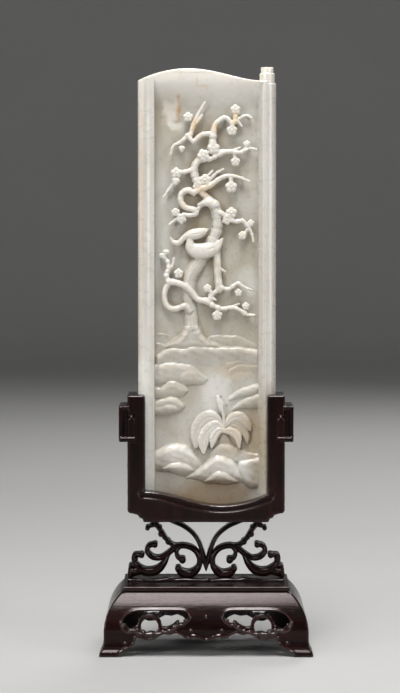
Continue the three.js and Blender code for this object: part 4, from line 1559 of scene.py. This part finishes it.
def carve_landscape(land: Landscape) -> None:
    """Raises hills, shores, rocks and the plantain, from the far ones to the near ones.

    Args:
        land: The low relief.
    """
    land.rock(((0, 138), (1.4, 143.2), (10.7, 144.1), (18.6, 142.2), (23, 138.4), (12, 136)), 0.9, 1.6)
    land.shore(((-24, 145), (-20, 144.8), (-16, 144.2)), 1.2, 0.5)
    land.shore(((-24, 141.2), (-20, 140), (-15, 138.2)), 3, 0.8)
    land.rock(((-9.2, 156), (-10, 150), (-12.4, 144.6), (-18.8, 138), (7.8, 138), (0.6, 142.8),
               (-2.8, 148.4), (-4, 156)), 2.7, 2.4, 0.25)
    land.shore(((-24, 134.4), (-21, 136.2), (-16.4, 138.6), (-11, 138.2), (-6, 139.4), (-1, 139.2),
                (5, 138.8), (12.3, 138.9), (18, 138.6), (25, 137.2)), 9.4, 3, 0.05)
    land.shore(((8, 131.4), (15, 132.8), (25, 134)), 2.4, 1.5, 0.3)
    land.shore(((10, 128.4), (16, 130.6), (25, 130.2)), 2.2, 1.1, 0.3)
    land.rock(((-26, 130.2), (-17, 131.6), (-9, 130.9), (-3.4, 128), (0.8, 123.8), (-6, 120.6),
               (-16, 122.2), (-26, 122)), 2, 2, 0.6)
    land.rock(((-13, 122), (-12, 127.4), (-7.4, 129), (-2.6, 126), (-0.4, 122.6), (-6, 120.8)),
              2.3, 2.2, 0.5)
    land.rock(((-26, 120.3), (-21.5, 120.2), (-16.4, 123.2), (-10.6, 121.6), (-8, 118), (-14, 115.2),
               (-26, 115.4)), 1.9, 1.9, 0.6)
    land.rock(((-26, 113), (-19, 115.2), (-13.4, 115.4), (-9.9, 111.7), (-13, 108.6), (-26, 108.4)),
              2.2, 1.7, 0.5)
    land.rock(((-26, 110.4), (-20, 112.4), (-14.4, 112.3), (-12.4, 109.9), (-16, 107.6), (-26, 107.4)),
              2.5, 1.6, 0.5)
    land.rock(((10.2, 113.9), (12.4, 117), (19, 120.6), (26, 122), (26, 118), (17, 115.4)), 1.7, 1.5, 0.4)
    land.rock(((11.8, 109.4), (14.4, 113), (20, 116), (26, 117), (26, 111), (17, 110)), 2, 1.6, 0.5)
    land.rock(((2, 86), (3.6, 92.4), (8.6, 94.2), (13.4, 92.6), (14, 86)), 1.8, 1.8, 0.5)
    land.rock(((12, 86), (13.6, 92.6), (18, 90.6), (26, 88.6), (26, 84)), 1.7, 1.5, 0.5)
    plantain(land)
    land.rock(((-26, 88.8), (-21.4, 91.8), (-17.2, 93.4), (-12.4, 94), (-8.4, 92.8), (-4.8, 89.2),
               (-2.4, 84.6), (-3, 79), (-8, 78.6), (-14, 80), (-20, 81.2), (-26, 82.4)),
              3.3, 2.8, 0.8, 0.05)
    land.rock(((-20.6, 82.4), (-17, 85.2), (-12, 86.2), (-7.6, 84.6), (-5.2, 81.4), (-8, 78.8),
               (-14, 79.8)), 3.8, 2.4, 0.75, 0.04)
    land.rock(((14.4, 84), (18.4, 86.9), (26, 86.6), (26, 74.5), (18, 74.8)), 2.6, 1.6, 0.45)
    land.rock(((-9.6, 78.2), (-6, 80.6), (-2.2, 84.4), (2.4, 88), (7.2, 88.9), (11.8, 86.9), (15.2, 82.4),
               (18.6, 76.8), (12, 75.4), (2, 75.6), (-4, 77)), 3.6, 2.8, 0.75, 0.05)
    land.rock(((-1.6, 76.2), (1.4, 79.4), (4.8, 81.6), (9.2, 81.6), (12.4, 78.8), (14.6, 75.8), (6, 75)),
              4.0, 2.2, 0.65, 0.04)


def plantain(land: Landscape) -> None:
    """Raises the plantain: broad drooping leaves around a crown, and its bud on a stem.

    Args:
        land: The low relief.
    """
    land.rock(((5.6, 94), (6.4, 98), (8.4, 100), (10.4, 98), (11, 94)), 1.8, 1.6, 0.8)
    land.leaf(((8.2, 101.4, 0.8), (5.2, 105.2, 2.2), (0.8, 106.2, 3.2), (-3, 102.8, 3.3),
               (-4.7, 97.6, 2.8), (-4.8, 92.8, 1.2)), 1.1, 0.9)
    land.leaf(((8.2, 101, 0.8), (4.6, 102.8, 2.1), (1, 100.2, 3), (-1.2, 95.4, 2.9),
               (-1.2, 90.2, 1.2)), 1.8, 0.9)
    land.leaf(((8.4, 101.6, 0.8), (11.4, 105.4, 2.1), (15.2, 106.4, 2.7), (18.6, 103.6, 2.3),
               (20.4, 100.4, 0.8)), 1.3, 0.9)
    land.leaf(((8.4, 100.8, 0.8), (12.6, 103.2, 1.9), (16.4, 101.2, 2.2), (18.6, 97.6, 1.8),
               (19.0, 94.4, 0.6)), 1.0, 0.8)
    land.leaf(((8.2, 100.4, 0.9), (5.4, 99.8, 2), (3.4, 96.6, 2), (2.6, 92.6, 0.8)), 2.3, 0.7)
    land.leaf(((8, 99.8, 0.9), (11.2, 99.8, 2), (14.4, 97.4, 2.2), (15.3, 92.6, 0.8)), 2.3, 0.8)
    land.leaf(((8.2, 102, 1), (8.2, 105.6, 0.8), (7.4, 109.6, 0.9)), 2, 0.6, 0)
    land.leaf(((7.4, 109.2, 0.9), (6.4, 112.2, 1.7), (5.4, 115.4, 0.8)), 1.7, 1, 0)


# ---- sub-assemblies


@dataclass
class CarvedPiece:
    """One piece, carved to fit the box that its solid has in the frame, in millimetres."""

    node: str
    cell: float
    hollow_reach: float
    slot: str
    finish: PolishedJade | WaxedHardwood
    low: Vector = field(init=False)
    high: Vector = field(init=False)

    def __post_init__(self) -> None:
        """Reads the piece's overall box from the frame."""
        low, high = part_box(self.node)
        self.low, self.high = low / MM, high / MM

    def build(self, effects: SharedEffects) -> Piece:
        """Carves, skins and dresses the piece.

        Args:
            effects: The shared shader groups.

        Returns:
            The piece.
        """
        carving = Carving(self.low, self.high, self.cell)
        self.carve(carving)
        piece = skinned(self.node + "_carved", carving, self.hollow_reach)
        self.measure(piece, carving)
        piece.data.materials.append(self.finish.material(effects))
        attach(piece, BODY)
        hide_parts(self.node)
        return piece

    def carve(self, carving: Carving) -> None:
        """Carves the piece's whole shape, which each piece does in its own way."""
        raise NotImplementedError

    def measure(self, piece: Piece, carving: Carving) -> None:
        """Writes what else the finish needs to know on the skinned piece, which is nothing here."""


@dataclass
class Plaque(CarvedPiece):
    """The jade plaque: plain border, roller with its stepped knob, cove, ground and relief."""

    node: str = "jade_plaque"
    cell: float = 0.25
    hollow_reach: float = 1.6
    slot: str = "jade"
    finish: PolishedJade = PolishedJade()
    halo_y: float = -1.6
    halo_spread: float = 3.0
    border_width: float = 7.6
    border_bevel: float = 1.3
    ground_y: float = -0.3
    roller_radius: float = 4.15
    roller_steps: tuple[tuple[float, float], ...] = ((4.15, 7.4), (3.5, 2.8), (2.9, 0.0))
    cove_drop: float = 14.0
    crest_below_knob: float = 0.6
    half_thick: float = field(init=False)
    roller_x: float = field(init=False)
    ground_left: float = field(init=False)
    upper: WavyEdge = field(init=False)
    lower: WavyEdge = field(init=False)

    def __post_init__(self) -> None:
        """Reads the plaque's box and places its roller, ground and wavy edges in it."""
        super().__post_init__()
        self.half_thick = self.high.y
        self.roller_x = self.high.x - self.roller_radius
        self.ground_left = self.low.x + self.border_width
        self.upper = WavyEdge(-8.0, self.high.z - self.crest_below_knob, bow=0.0101, sweep=2.85)
        self.lower = WavyEdge(7.0, self.low.z, turned_over=True)

    def carve(self, carving: Carving) -> None:
        """Carves the slab and its roller, then the landscape, the tree and the bird.

        Args:
            carving: The solid being carved.
        """
        self._slab(carving)
        self._recess(carving)
        self._roller(carving)
        self._relief(carving)
        PrunusTree(self.ground_y).carve(carving)
        Bird().carve(carving)

    def measure(self, piece: Piece, carving: Carving) -> None:
        """Writes how much carved work stands around each place."""
        write_halo(piece, carving, self.halo_y, self.halo_spread)

    def _slab(self, carving: Carving) -> None:
        """Leaves the wavy slab, with a bevel along its left border.

        Args:
            carving: The solid being carved.
        """
        outline = np.array(
            self.lower.run(self.low.x, self.roller_x) + self.upper.run(self.roller_x, self.low.x)
        )
        carving.add(plate(outline, -self.half_thick, self.half_thick, rounding=0.5))
        left, front, bevel = self.low.x, -self.half_thick, self.border_bevel
        corner = np.array([
            (left - 3, front - 3), (left + 2 * bevel, front - 3), (left + 2 * bevel, front),
            (left, front + bevel), (left - 3, front + bevel),
        ])
        carving.cut(plate(corner, self.low.z - 9, self.high.z + 9, Across.HEIGHT), 0.3)

    def _recess(self, carving: Carving) -> None:
        """Cuts the ground back behind the border, with a cove below the upper edge.

        Args:
            carving: The solid being carved.
        """
        start = float(self.upper.height(np.array(self.roller_x))) - self.cove_drop
        front = -self.half_thick - 3
        rise = self.half_thick + self.ground_y
        cove = [
            (self.ground_y - rise * float(ease(np.array(t), 0, 1)), start + 1.25 * self.cove_drop * t)
            for t in np.linspace(0, 1, 48)
        ]
        profile = [(front, self.low.z - 9), (self.ground_y, self.low.z - 9), *cove, (front, cove[-1][1])]
        right = self.roller_x - 1.2
        carving.cut(plate(np.array(profile), self.ground_left, right, Across.WIDTH), 0.6)

    def _roller(self, carving: Carving) -> None:
        """Leaves the turned roller with its collar and knob, its foot cut along the wavy edge.

        Args:
            carving: The solid being carved.
        """
        height = self.low.z - 5
        profile = [(0.0, height)]
        for radius, below_top in self.roller_steps:
            profile += [(radius, height), (radius, self.high.z - below_top)]
            height = self.high.z - below_top
        profile.append((0.0, height))
        carving.add(turned(np.array(profile), self.roller_x), 0.2)
        under = [(self.low.x - 5, self.low.z - 20), (self.high.x + 5, self.low.z - 20)]
        wave = self.lower.run(self.high.x + 5, self.low.x - 5)
        carving.cut(plate(np.array(under + wave), -20, 20), 0.4)

    def _relief(self, carving: Carving) -> None:
        """Raises the landscape below the tree.

        Args:
            carving: The solid being carved.
        """
        right = self.roller_x - self.roller_radius + 1.5
        land = Landscape(carving, self.ground_left - 0.5, right, self.low.z + 4, self.low.z + 84)
        carve_landscape(land)
        carving.add(land.form(self.ground_y, 1.0), 0.15)


@dataclass
class Cradle(CarvedPiece):
    """The U-shaped hardwood cradle with its moulded mouth, grooved arms and fretted ears."""

    node: str = "stand_cradle"
    cell: float = 0.27
    hollow_reach: float = 2.2
    slot: str = "hardwood"
    finish: WaxedHardwood = WaxedHardwood((1.0, 1.0, 0.12), "waxed hardwood, upright grain")
    fit_gap: float = 0.3
    body_half_width: float = 36.0
    body_half_depth: float = 14.0
    mouth_half: float = 27.9
    lip_rise: float = 2.9
    lip_width: float = 0.75
    band_width: float = 2.9
    band_sink: float = 0.8
    bead_radius: float = 0.42
    edge_rounding: float = 1.3
    arms_start: float = 72.0
    arms_fade: float = 3.0
    ear_top: float = 112.3
    ear_bottom: float = 96.0
    ear_half_depth: float = 13.0
    tongue_top: float = 108.2
    tongue_radius: float = 1.7
    plaque: Plaque = field(default_factory=Plaque)

    def carve(self, carving: Carving) -> None:
        """Carves the body and its ears, then the mouth and groove for the plaque."""
        self._body(carving)
        self._ears(carving)
        self._mouth(carving)

    def _mouth_outline(self, margin: float) -> Array:
        """The open mouth between the arms, widened by a margin."""
        half = self.mouth_half + margin
        wave = self.plaque.lower.run(-half, half, self.lip_rise - margin)
        return np.array([*wave, (half, self.high.z + 12), (-half, self.high.z + 12)])

    def _body(self, carving: Carving) -> None:
        """Leaves the U-shaped block with its cusped lower corners and sunk moulded band.

        Args:
            carving: The solid being carved.
        """
        half, low = self.body_half_width, self.low.z
        corner = [
            (-half, self.high.z), (-half, low + 5.2), (-half + 0.7, low + 4.2), (-half + 2.6, low + 3.9),
            (-half + 4.8, low + 3.2), (-half + 5.4, low + 2.0), (-half + 6.8, low + 1.6), (-half + 7.4, low),
        ]
        outline = np.array(corner + mirror_in_x(corner))
        mouth = self._mouth_outline(0)

        def distance(x: Array, y: Array, z: Array) -> Array:
            """Distance to the block, whose faces are sunk in a band around the mouth."""
            around = outline_distance(mouth, x, z)
            band = ease(around, self.band_width + 0.2, self.band_width - 0.2)
            band = band * ease(around, self.lip_width - 0.1, self.lip_width + 0.35)
            below_arms = ease(z, self.arms_start + self.arms_fade, self.arms_start)
            hollow = below_arms * self.band_sink * band
            thick = np.abs(y) - (self.body_half_depth - hollow)
            whole = smooth_max(outline_distance(outline, x, z), thick, self.edge_rounding)
            bead = np.hypot(around - self.band_width - 0.5, np.abs(y) - self.body_half_depth + 0.12)
            bead = bead - self.bead_radius * below_arms
            return smooth_min(whole, np.maximum(bead, z - self.high.z + 0.6), 0.2)

        low_corner = (-half, -self.body_half_depth - 1, low)
        high_corner = (half, self.body_half_depth + 1, self.high.z)
        carving.add(Form(low_corner, high_corner, distance))

    def _mouth(self, carving: Carving) -> None:
        """Cuts the mouth between the arms and the groove that holds the plaque.

        Args:
            carving: The solid being carved.
        """
        carving.cut(plate(self._mouth_outline(0), -FAR, FAR), self.edge_rounding)
        gap, plaque = self.fit_gap, self.plaque
        left, right = plaque.low.x - gap, plaque.high.x + gap
        wave = plaque.lower.run(left, right, -gap)
        groove = np.array([*wave, (right, self.high.z + 12), (left, self.high.z + 12)])
        half = plaque.half_thick + gap
        carving.cut(plate(groove, -half, half), 0.2)

    def _ears(self, carving: Carving) -> None:
        """Leaves a fretted ear on each arm: post, ledge, and a round-topped tongue on the face.

        Args:
            carving: The solid being carved.
        """
        front, side, back = -self.low.y, self.body_half_width, self.ear_half_depth
        reach, bottom, top = self.high.x, self.ear_bottom, self.ear_top
        tongue, tongue_centre = self.tongue_radius, self.tongue_top - self.tongue_radius
        shapes = (
            (reach, side - 1, back, back, bottom, top, 0.6),
            (reach, reach - 2.0, front - 1.2, 0, bottom, top, 0.7),
            (reach - 0.2, side - 3.8, front, 0, bottom, bottom + 2.3, 1.0),
            (side - 0.2, side - 0.2 - 2 * tongue, front - 0.6, 0, bottom, tongue_centre, 0.5),
            (reach - 0.2, side - 0.6, front - 1.4, 0, top - 1.8, top, 0.6),
        )
        for sign in (-1, 1):
            for x_out, x_in, to_front, to_back, z_low, z_high, rounding in shapes:
                x_low, x_high = sorted((sign * x_out, sign * x_in))
                carving.add(block((x_low, -to_front, z_low), (x_high, to_back, z_high), rounding), 0.15)
            middle = sign * (side - 0.2 - tongue)
            cap = [(middle, y, tongue_centre) for y in (tongue - front + 0.6, 0)]
            carving.add(limb(np.array(cap), np.array([tongue, tongue])), 0.15)


@dataclass
class ScrollSupport(CarvedPiece):
    """The pierced panel of scrolls and leaves between the cradle and the base."""

    node: str = "scroll_support"
    cell: float = 0.2
    hollow_reach: float = 1.8
    slot: str = "hardwood"
    finish: WaxedHardwood = WaxedHardwood((0.3, 1.0, 1.0), "waxed hardwood, carved scrolls")
    half_depth: float = 5.5
    rounding: float = 1.5
    bands: tuple[tuple[Point, ...], ...] = (
        ((-19, 59.8, 1), (-14.8, 58, 0.95), (-9.9, 55.6, 0.85), (-5.6, 52, 0.85), (-3, 47.8, 0.95),
         (-1.5, 42.9, 1.1), (-0.6, 39, 0.95), (0, 35.4, 0.3)),
        ((-19.4, 41.8, 1.1), (-16.6, 44, 1.2), (-13.6, 46.4, 1.2), (-9.6, 46.8, 1.2), (-5.6, 45.2, 1.2),
         (-3.2, 41.6, 1.25), (-3.4, 37.2, 1.35), (-6.6, 34, 1.9), (-10.4, 34, 2), (-13.2, 36.2, 1.2)),
        ((-18.2, 42.8, 1.1), (-21.4, 41.2, 1.15), (-25, 41.8, 1.2), (-27.2, 44.4, 1.15), (-26.3, 46.8, 1.1),
         (-23.8, 47.6, 1.1)),
        ((-12.2, 46.4, 0.9), (-13.6, 44.2, 0.95), (-13, 41.6, 1), (-11, 40.4, 1.1)),
        ((-13, 46.8, 0.9), (-15.6, 47.4, 0.95), (-18.2, 49.6, 0.95), (-20.4, 53, 1),
         (-22.2, 55.6, 1.05), (-23.6, 57.4, 1.1), (-24.4, 59.4, 1.3)),
        ((-22.6, 56.4, 0.9), (-24.6, 56.6, 0.9), (-26.4, 55.6, 0.7)),
        ((-17.4, 42.4, 0.8), (-19.6, 38.4, 1.4), (-23, 35.4, 1.95), (-27.4, 34.8, 2), (-30.8, 36.6, 1.5),
         (-33, 39.4, 1.2), (-33, 42.4, 1.1), (-30.4, 42.8, 1)),
        ((-30.4, 35.2, 1.6), (-33.8, 34.6, 2), (-35.2, 33, 1.2)),
        ((-34, 38, 1), (-34.8, 36.2, 1.2), (-34.6, 34, 1.4)),
    )
    beads: tuple[Point, ...] = (
        (-10.9, 40.3, 1.6), (-12.9, 36.3, 1.45), (-23.6, 47.4, 1.35), (-29.8, 42.6, 1.35), (-34, 34.8, 2),
        (-15.2, 47, 1), (-17.5, 48.8, 1.3), (-19.4, 50.8, 0.9), (-20.8, 52.4, 1.35), (-21.4, 55, 1.2),
        (-24.9, 56.6, 1.15), (-27, 55.2, 1.1), (-32.4, 40.6, 1), (-34.9, 37.6, 0.9),
    )
    skirting: tuple[Point, ...] = (
        (-36.4, 30.4), (-36.4, 32), (-33, 31.8), (-27, 31.5), (-21.4, 32), (-17.6, 32.6), (-14.4, 32),
        (-11, 32.2), (-6, 32), (-2.4, 31.8), (0.5, 32.2), (0.5, 30.4),
    )

    def carve(self, carving: Carving) -> None:
        """Carves the openwork and cuts it flat where it meets the cradle and the base."""
        carving.add(Form(tuple(self.low), tuple(self.high), self._openwork))
        carving.keep_within(block(tuple(self.low), tuple(self.high), 0.0))

    def _openwork(self, x: Array, y: Array, z: Array) -> Array:
        """Distance to the scrolls, which are drawn on one half and mirrored.

        Args:
            x: Where to measure.
            y: Where to measure.
            z: Where to measure.

        Returns:
            The distances.
        """
        half = -np.abs(x)
        drawn = outline_distance(np.array(self.skirting), half, z)
        for band in self.bands:
            drawn = smooth_min(drawn, stroke_distance(smooth_route(band, 5), half, z), 0.35)
        r = self.rounding
        deep = np.abs(y) - self.half_depth + 0.5 + r
        outer = np.hypot(np.maximum(drawn + r, 0), np.maximum(deep, 0))
        solid = outer + np.minimum(np.maximum(drawn + r, deep), 0) - r
        for bead_x, bead_z, radius in self.beads:
            away = np.hypot(half - bead_x, z - bead_z)
            bead = np.hypot(away, np.maximum(np.abs(y) - self.half_depth + radius, 0)) - radius
            solid = smooth_min(solid, bead, 0.12)
        return solid


@dataclass
class Base(CarvedPiece):
    """The low table base: top board, leaning shoulder, pierced aprons and flared feet."""

    node: str = "stand_base"
    cell: float = 0.3
    hollow_reach: float = 2.4
    slot: str = "hardwood"
    finish: WaxedHardwood = WaxedHardwood((0.12, 1.0, 1.0), "waxed hardwood, level grain")
    flare: float = 2.0
    board_inset: float = 8.3
    shoulder_top: float = 28.1
    shoulder_foot: float = 12.0
    apron_wall: float = 4.6
    ring_x: float = 25.6
    ring_z: float = 13.5
    ring_radius: float = 4.75
    ring_band: float = 0.85
    rim_sunk: float = 0.12
    rim_start: float = 2.4
    cut_through: float = 60.0
    opening: tuple[Point, ...] = (
        (34.6, 11.6), (36.8, 12.6), (37.9, 15.2), (37, 17.6), (34.8, 19.4), (31.6, 20.3), (26, 20.5),
        (20, 20.5), (14, 20.5), (10.4, 20.3), (8.5, 19.5), (7.9, 17.9), (8.8, 16.6), (10.9, 15),
        (12.9, 14.8), (14.6, 13.2), (17.4, 11.9), (19.4, 11.4), (21.4, 10.8), (30, 10.8), (31.4, 11.6),
        (33.0, 12.4),
    )
    opening_strokes: tuple[Route, ...] = (
        ((37.6, 13.6, 0.9), (35.4, 11.7, 1), (32.8, 12, 1.1), (30.6, 12.6, 0.9)),
        ((20.6, 12.6, 0.9), (17.6, 12, 1.3), (15, 13.4, 1), (12.9, 15.4, 0.8)),
        ((28.6, 11.2, 0.7), (27.2, 9.6, 1), (25.2, 10.4, 0.9), (23.4, 10.2, 0.9)),
    )
    lower_run: tuple[Point, ...] = (
        (39.6, -2), (39.4, 1.6), (37.4, 2.9), (34.8, 3.8), (32.4, 5.6), (31.6, 8.6), (29.4, 8.2),
        (27.1, 7.4), (23.8, 7.6), (21.6, 9), (19.3, 10.2), (16.4, 9.8), (13.5, 10.6), (11.2, 9.6),
        (9.4, 8.2), (7.8, 8.2), (6.4, 9.2), (4.6, 8.6), (2.6, 8.3), (0.9, 7.6), (0, 6.8),
    )
    side_run: tuple[Point, ...] = (
        (24.2, -2), (24, 1.6), (22, 2.9), (19.6, 3.8), (17.4, 5.6), (16.4, 9.4), (13.6, 11.4), (10.4, 12.2),
        (7.2, 11.8), (5, 10), (2.6, 9.6), (0, 8.4),
    )
    beads: tuple[Point, ...] = (
        (7, 11.6, 0.9), (0, 17.7, 0.75), (36.7, 6.1, 0.85), (36.9, 14.4, 0.8), (12.9, 15.2, 0.9),
        (14.8, 13.2, 0.9), (17.2, 11.6, 0.8), (19.6, 11.3, 0.75), (28.4, 10.6, 0.9), (27, 9.4, 0.85),
        (23.7, 10.4, 0.85), (34.4, 11.7, 0.8), (31.2, 12, 0.8), (9.6, 16.4, 0.8), (2.8, 8.9, 0.7),
    )
    drop: Route = ((-7.6, 8.6, 0.7), (-5.6, 9.4, 0.8), (-3.0, 8.7, 0.8), (0, 7.6, 0.8), (3.0, 8.7, 0.8),
                   (5.6, 9.4, 0.8), (7.6, 8.6, 0.7))
    half_width: float = field(init=False)
    half_depth: float = field(init=False)

    def __post_init__(self) -> None:
        """Reads the base's box, whose feet flare out past its upright faces."""
        super().__post_init__()
        self.half_width = self.high.x - self.flare
        self.half_depth = self.high.y - self.flare

    def carve(self, carving: Carving) -> None:
        """Carves the block, hollows it, and pierces and rims its aprons."""
        carving.add(Form(tuple(self.low), tuple(self.high), self._block))
        self._hollow(carving)
        self._aprons(carving)
        self._ornaments(carving)
        carving.keep_within(block(tuple(self.low), tuple(self.high), 0.0))

    def _profile(self, reach: float) -> Array:
        """The base's outline from the side, for an upright face at some reach from the middle.

        Args:
            reach: How far out the upright face stands.

        Returns:
            The closed outline, as distance out and z.
        """
        neck = reach - self.board_inset
        foot, top = self.shoulder_foot, self.shoulder_top
        knee = (reach - 1.0, foot + 0.6 * (top - foot))
        shoulder = [
            tuple((1 - t) ** 2 * a + 2 * t * (1 - t) * b + t**2 * c
                  for a, b, c in zip((reach, foot), knee, (neck + 0.5, top)))
            for t in np.linspace(0, 1, 14)
        ]
        right = [
            (reach + self.flare, 0), (reach + self.flare, 1.2), (reach + 1.6, 2.2), (reach + 0.7, 3.2),
            (reach + 0.2, 4.6), (reach, 6.5), *shoulder, (neck - 0.7, self.shoulder_top),
            (neck - 0.7, self.shoulder_top + 0.6), (neck, self.shoulder_top + 0.6), (neck, self.high.z),
        ]
        return np.array(right + mirror_in_x(right))

    def _face(self, z: Array, reach: float) -> Array:
        """How far out the moulded face stands at z, for an upright face at some reach."""
        side = self._profile(reach)
        half = side[: len(side) // 2]
        return np.interp(z, half[:, 1], half[:, 0])

    def _block(self, x: Array, y: Array, z: Array) -> Array:
        """Distance to the moulded block, mitred at its corners."""
        across = outline_distance(self._profile(self.half_width), x, z)
        deep = outline_distance(self._profile(self.half_depth), y, z)
        return smooth_max(across, deep, 0.6)

    def _hollow(self, carving: Carving) -> None:
        """Hollows the base from below.

        Args:
            carving: The solid being carved.
        """
        wall = self.apron_wall
        wide, deep = self.half_width - wall, self.half_depth - wall
        carving.cut(block((-wide, -deep, -9), (wide, deep, 19.5), 1.5), 0.3)
        carving.cut(block((-wide + 4, -deep + 4, -9), (wide - 4, deep - 4, 23.5), 1.5), 0.5)

    def _aprons(self, carving: Carving) -> None:
        """Cuts the aprons' lower edges and openings, each with a raised rim along it.

        Args:
            carving: The solid being carved.
        """
        front = np.array([*self.lower_run, *mirror_in_x(self.lower_run)])
        side = np.array([*self.side_run, *mirror_in_x(self.side_run)])
        hole = smooth_route(self.opening, 3, closed=True)
        kept_strokes = [smooth_route(stroke, 4) for stroke in self.opening_strokes]

        def pierced(x: Array, y: Array, z: Array) -> Array:
            """Distance to the openings, with the ring and its leaves left standing."""
            half = np.abs(x)
            away = np.hypot(half - self.ring_x, z - self.ring_z)
            kept = np.abs(away - self.ring_radius) - self.ring_band
            for stroke in kept_strokes:
                kept = np.minimum(kept, stroke_distance(stroke, half, z))
            gap = np.minimum(outline_distance(hole, half, z), away - self.ring_radius + self.ring_band)
            return np.maximum(gap, -kept)

        def rims(x: Array, y: Array, z: Array) -> Array:
            """Distance to the raised rims around the openings and along the lower edges."""
            half = np.abs(x)
            in_front = np.abs(y) - self._face(z, self.half_depth) + self.rim_sunk
            beside = half - self._face(z, self.half_width) + self.rim_sunk
            opening_rim = np.hypot(outline_distance(hole, half, z) - 0.55, in_front) - 0.6
            edge_rim = np.hypot(outline_distance(front, x, z) - 0.6, in_front) - 0.5
            flank_rim = np.hypot(outline_distance(side, y, z) - 0.6, beside) - 0.5
            nearest = np.minimum(np.minimum(opening_rim, edge_rim), flank_rim)
            return np.maximum(nearest, self.rim_start - z)

        through = self.cut_through
        lower_edges = (plate(front, -through, through), plate(side, -through, through, Across.WIDTH))
        for edge in lower_edges:
            carving.cut(edge, 0.3)
        carving.cut(Form(tuple(self.low), tuple(self.high), pierced), 0.3)
        carving.add(Form(tuple(self.low), tuple(self.high), rims), 0.25)
        for edge in lower_edges:
            carving.cut(edge)

    def _ornaments(self, carving: Carving) -> None:
        """Leaves beads and the centre drop's moulded edge standing on the aprons' faces.

        Args:
            carving: The solid being carved.
        """
        for (x, z, radius), sign, out in product(self.beads, (-1, 1), (-1, 1)):
            face = float(self._face(np.array(z), self.half_depth))
            carving.add(egg((sign * x, out * (face - 0.15), z), (radius, radius, radius)), 0.15)
        run = smooth_route(self.drop, 4)
        for out in (-1, 1):
            face = np.full(len(run), out * (self.half_depth - 0.1))
            carving.add(limb(np.column_stack([run[:, 0], face, run[:, 1]]), run[:, 2]), 0.2)


# ---- floor, light and camera


@dataclass(frozen=True)
class SoftBox:
    """A soft area light: where it is, what it faces, its size in metres and its power in watts."""

    name: str
    place: Point
    faces: Point
    width: float
    height: float
    power: float

    def build(self) -> None:
        """Hangs the light."""
        lamp = bpy.data.lights.new(self.name, "AREA")
        lamp.shape = "RECTANGLE"
        lamp.size, lamp.size_y = self.width, self.height
        lamp.energy = self.power
        holder = linked(self.name, lamp)
        holder.location = self.place
        facing = Vector(self.faces) - Vector(self.place)
        holder.rotation_euler = facing.to_track_quat("-Z", "Y").to_euler()


@dataclass(frozen=True)
class Studio:
    """A plain pale floor, soft lights and the camera."""

    floor_half: float = 6.0
    floor_bend: float = 1.0
    floor_steps: int = 12
    camera_place: Point = (-0.0028, -1.245, 0.2028)
    camera_pitch: float = 2.94
    lens: float = 140.5
    sensor: float = 36.0
    sees_to: float = 30.0
    lights: tuple[SoftBox, ...] = (
        SoftBox("long box above", (-0.05, -0.33, 1.16), (-0.01, -0.06, 0.04), 0.34, 0.84, 18.0),
        SoftBox("front left box", (-0.95, -1.00, 0.46), (0, 0, 0.10), 0.40, 0.40, 6.2),
        SoftBox("front right box", (1.00, -0.95, 0.44), (0, 0, 0.10), 0.40, 0.40, 5.0),
        SoftBox("back box", (0.40, 1.20, 0.95), (0, 0, 0.14), 0.60, 0.60, 7.0),
    )
    sun_strength: float = 0.15
    sun_softness: float = 40.0
    sun_turn: Point = (52.0, 0.0, -12.0)
    wall_distance: float = 3.2
    wall_height: float = 4.0
    air: Colour = (0.80, 0.81, 0.83)
    air_strength: float = 0.06

    def build(self, effects: SharedEffects) -> None:
        """Lays the floor, hangs the lights and sets the camera.

        Args:
            effects: The shared shader groups.
        """
        self._floor(effects)
        for light in self.lights:
            light.build()
        self._sun()
        self._air()
        self._camera()

    def _floor(self, effects: SharedEffects) -> None:
        """Lays the floor, which bends up into a plain wall far behind.

        Args:
            effects: The shared shader groups.
        """
        half, bend, steps = self.floor_half, self.floor_bend, self.floor_steps
        side = [(-half, 0.0)]
        for step in range(steps + 1):
            angle = math.pi / 2 * step / steps
            start = self.wall_distance - bend
            side.append((start + bend * math.sin(angle), bend - bend * math.cos(angle)))
        side.append((self.wall_distance, self.wall_height))
        corners = [(x, y, z) for y, z in side for x in (-half, half)]
        faces = [(2 * i, 2 * i + 1, 2 * i + 3, 2 * i + 2) for i in range(len(side) - 1)]
        mesh = bpy.data.meshes.new("floor")
        mesh.from_pydata(corners, [], faces)
        mesh.shade_smooth()
        mesh.materials.append(PaleFloor().material(effects))
        floor = linked("floor", mesh)

    def _sun(self) -> None:
        """Adds one very soft, even light from above, so that the floor stays pale to its far end."""
        lamp = bpy.data.lights.new("even light", "SUN")
        lamp.energy = self.sun_strength
        lamp.angle = math.radians(self.sun_softness)
        linked("even light", lamp).rotation_euler = [math.radians(turn) for turn in self.sun_turn]

    def _air(self) -> None:
        """Sets the soft light that comes from all around."""
        world = bpy.data.worlds.new("studio air")
        world.use_nodes = True
        background = world.node_tree.nodes["Background"]
        background.inputs["Color"].default_value = (*self.air, 1.0)
        background.inputs["Strength"].default_value = self.air_strength
        bpy.context.scene.world = world

    def _camera(self) -> None:
        """Sets the camera in front of the plaque, a little above its middle."""
        lens = bpy.data.cameras.new("camera")
        lens.lens = self.lens
        lens.sensor_width = self.sensor
        lens.clip_end = self.sees_to
        camera = linked("camera", lens)
        camera.location = self.camera_place
        camera.rotation_euler = (math.radians(90 - self.camera_pitch), 0, 0)
        bpy.context.scene.camera = camera


def main() -> None:
    """Builds the pieces in order, then the studio around them."""
    logging.basicConfig(level=logging.INFO, format="%(message)s")
    effects = SharedEffects()
    for assembly in (Plaque(), Cradle(), ScrollSupport(), Base()):
        piece = assembly.build(effects)
        log.info("built %s for %s", piece.name, assembly.node)
    Studio().build(effects)
    bpy.context.scene.view_settings.view_transform = "Standard"


if __name__ == "__main__":
    main()
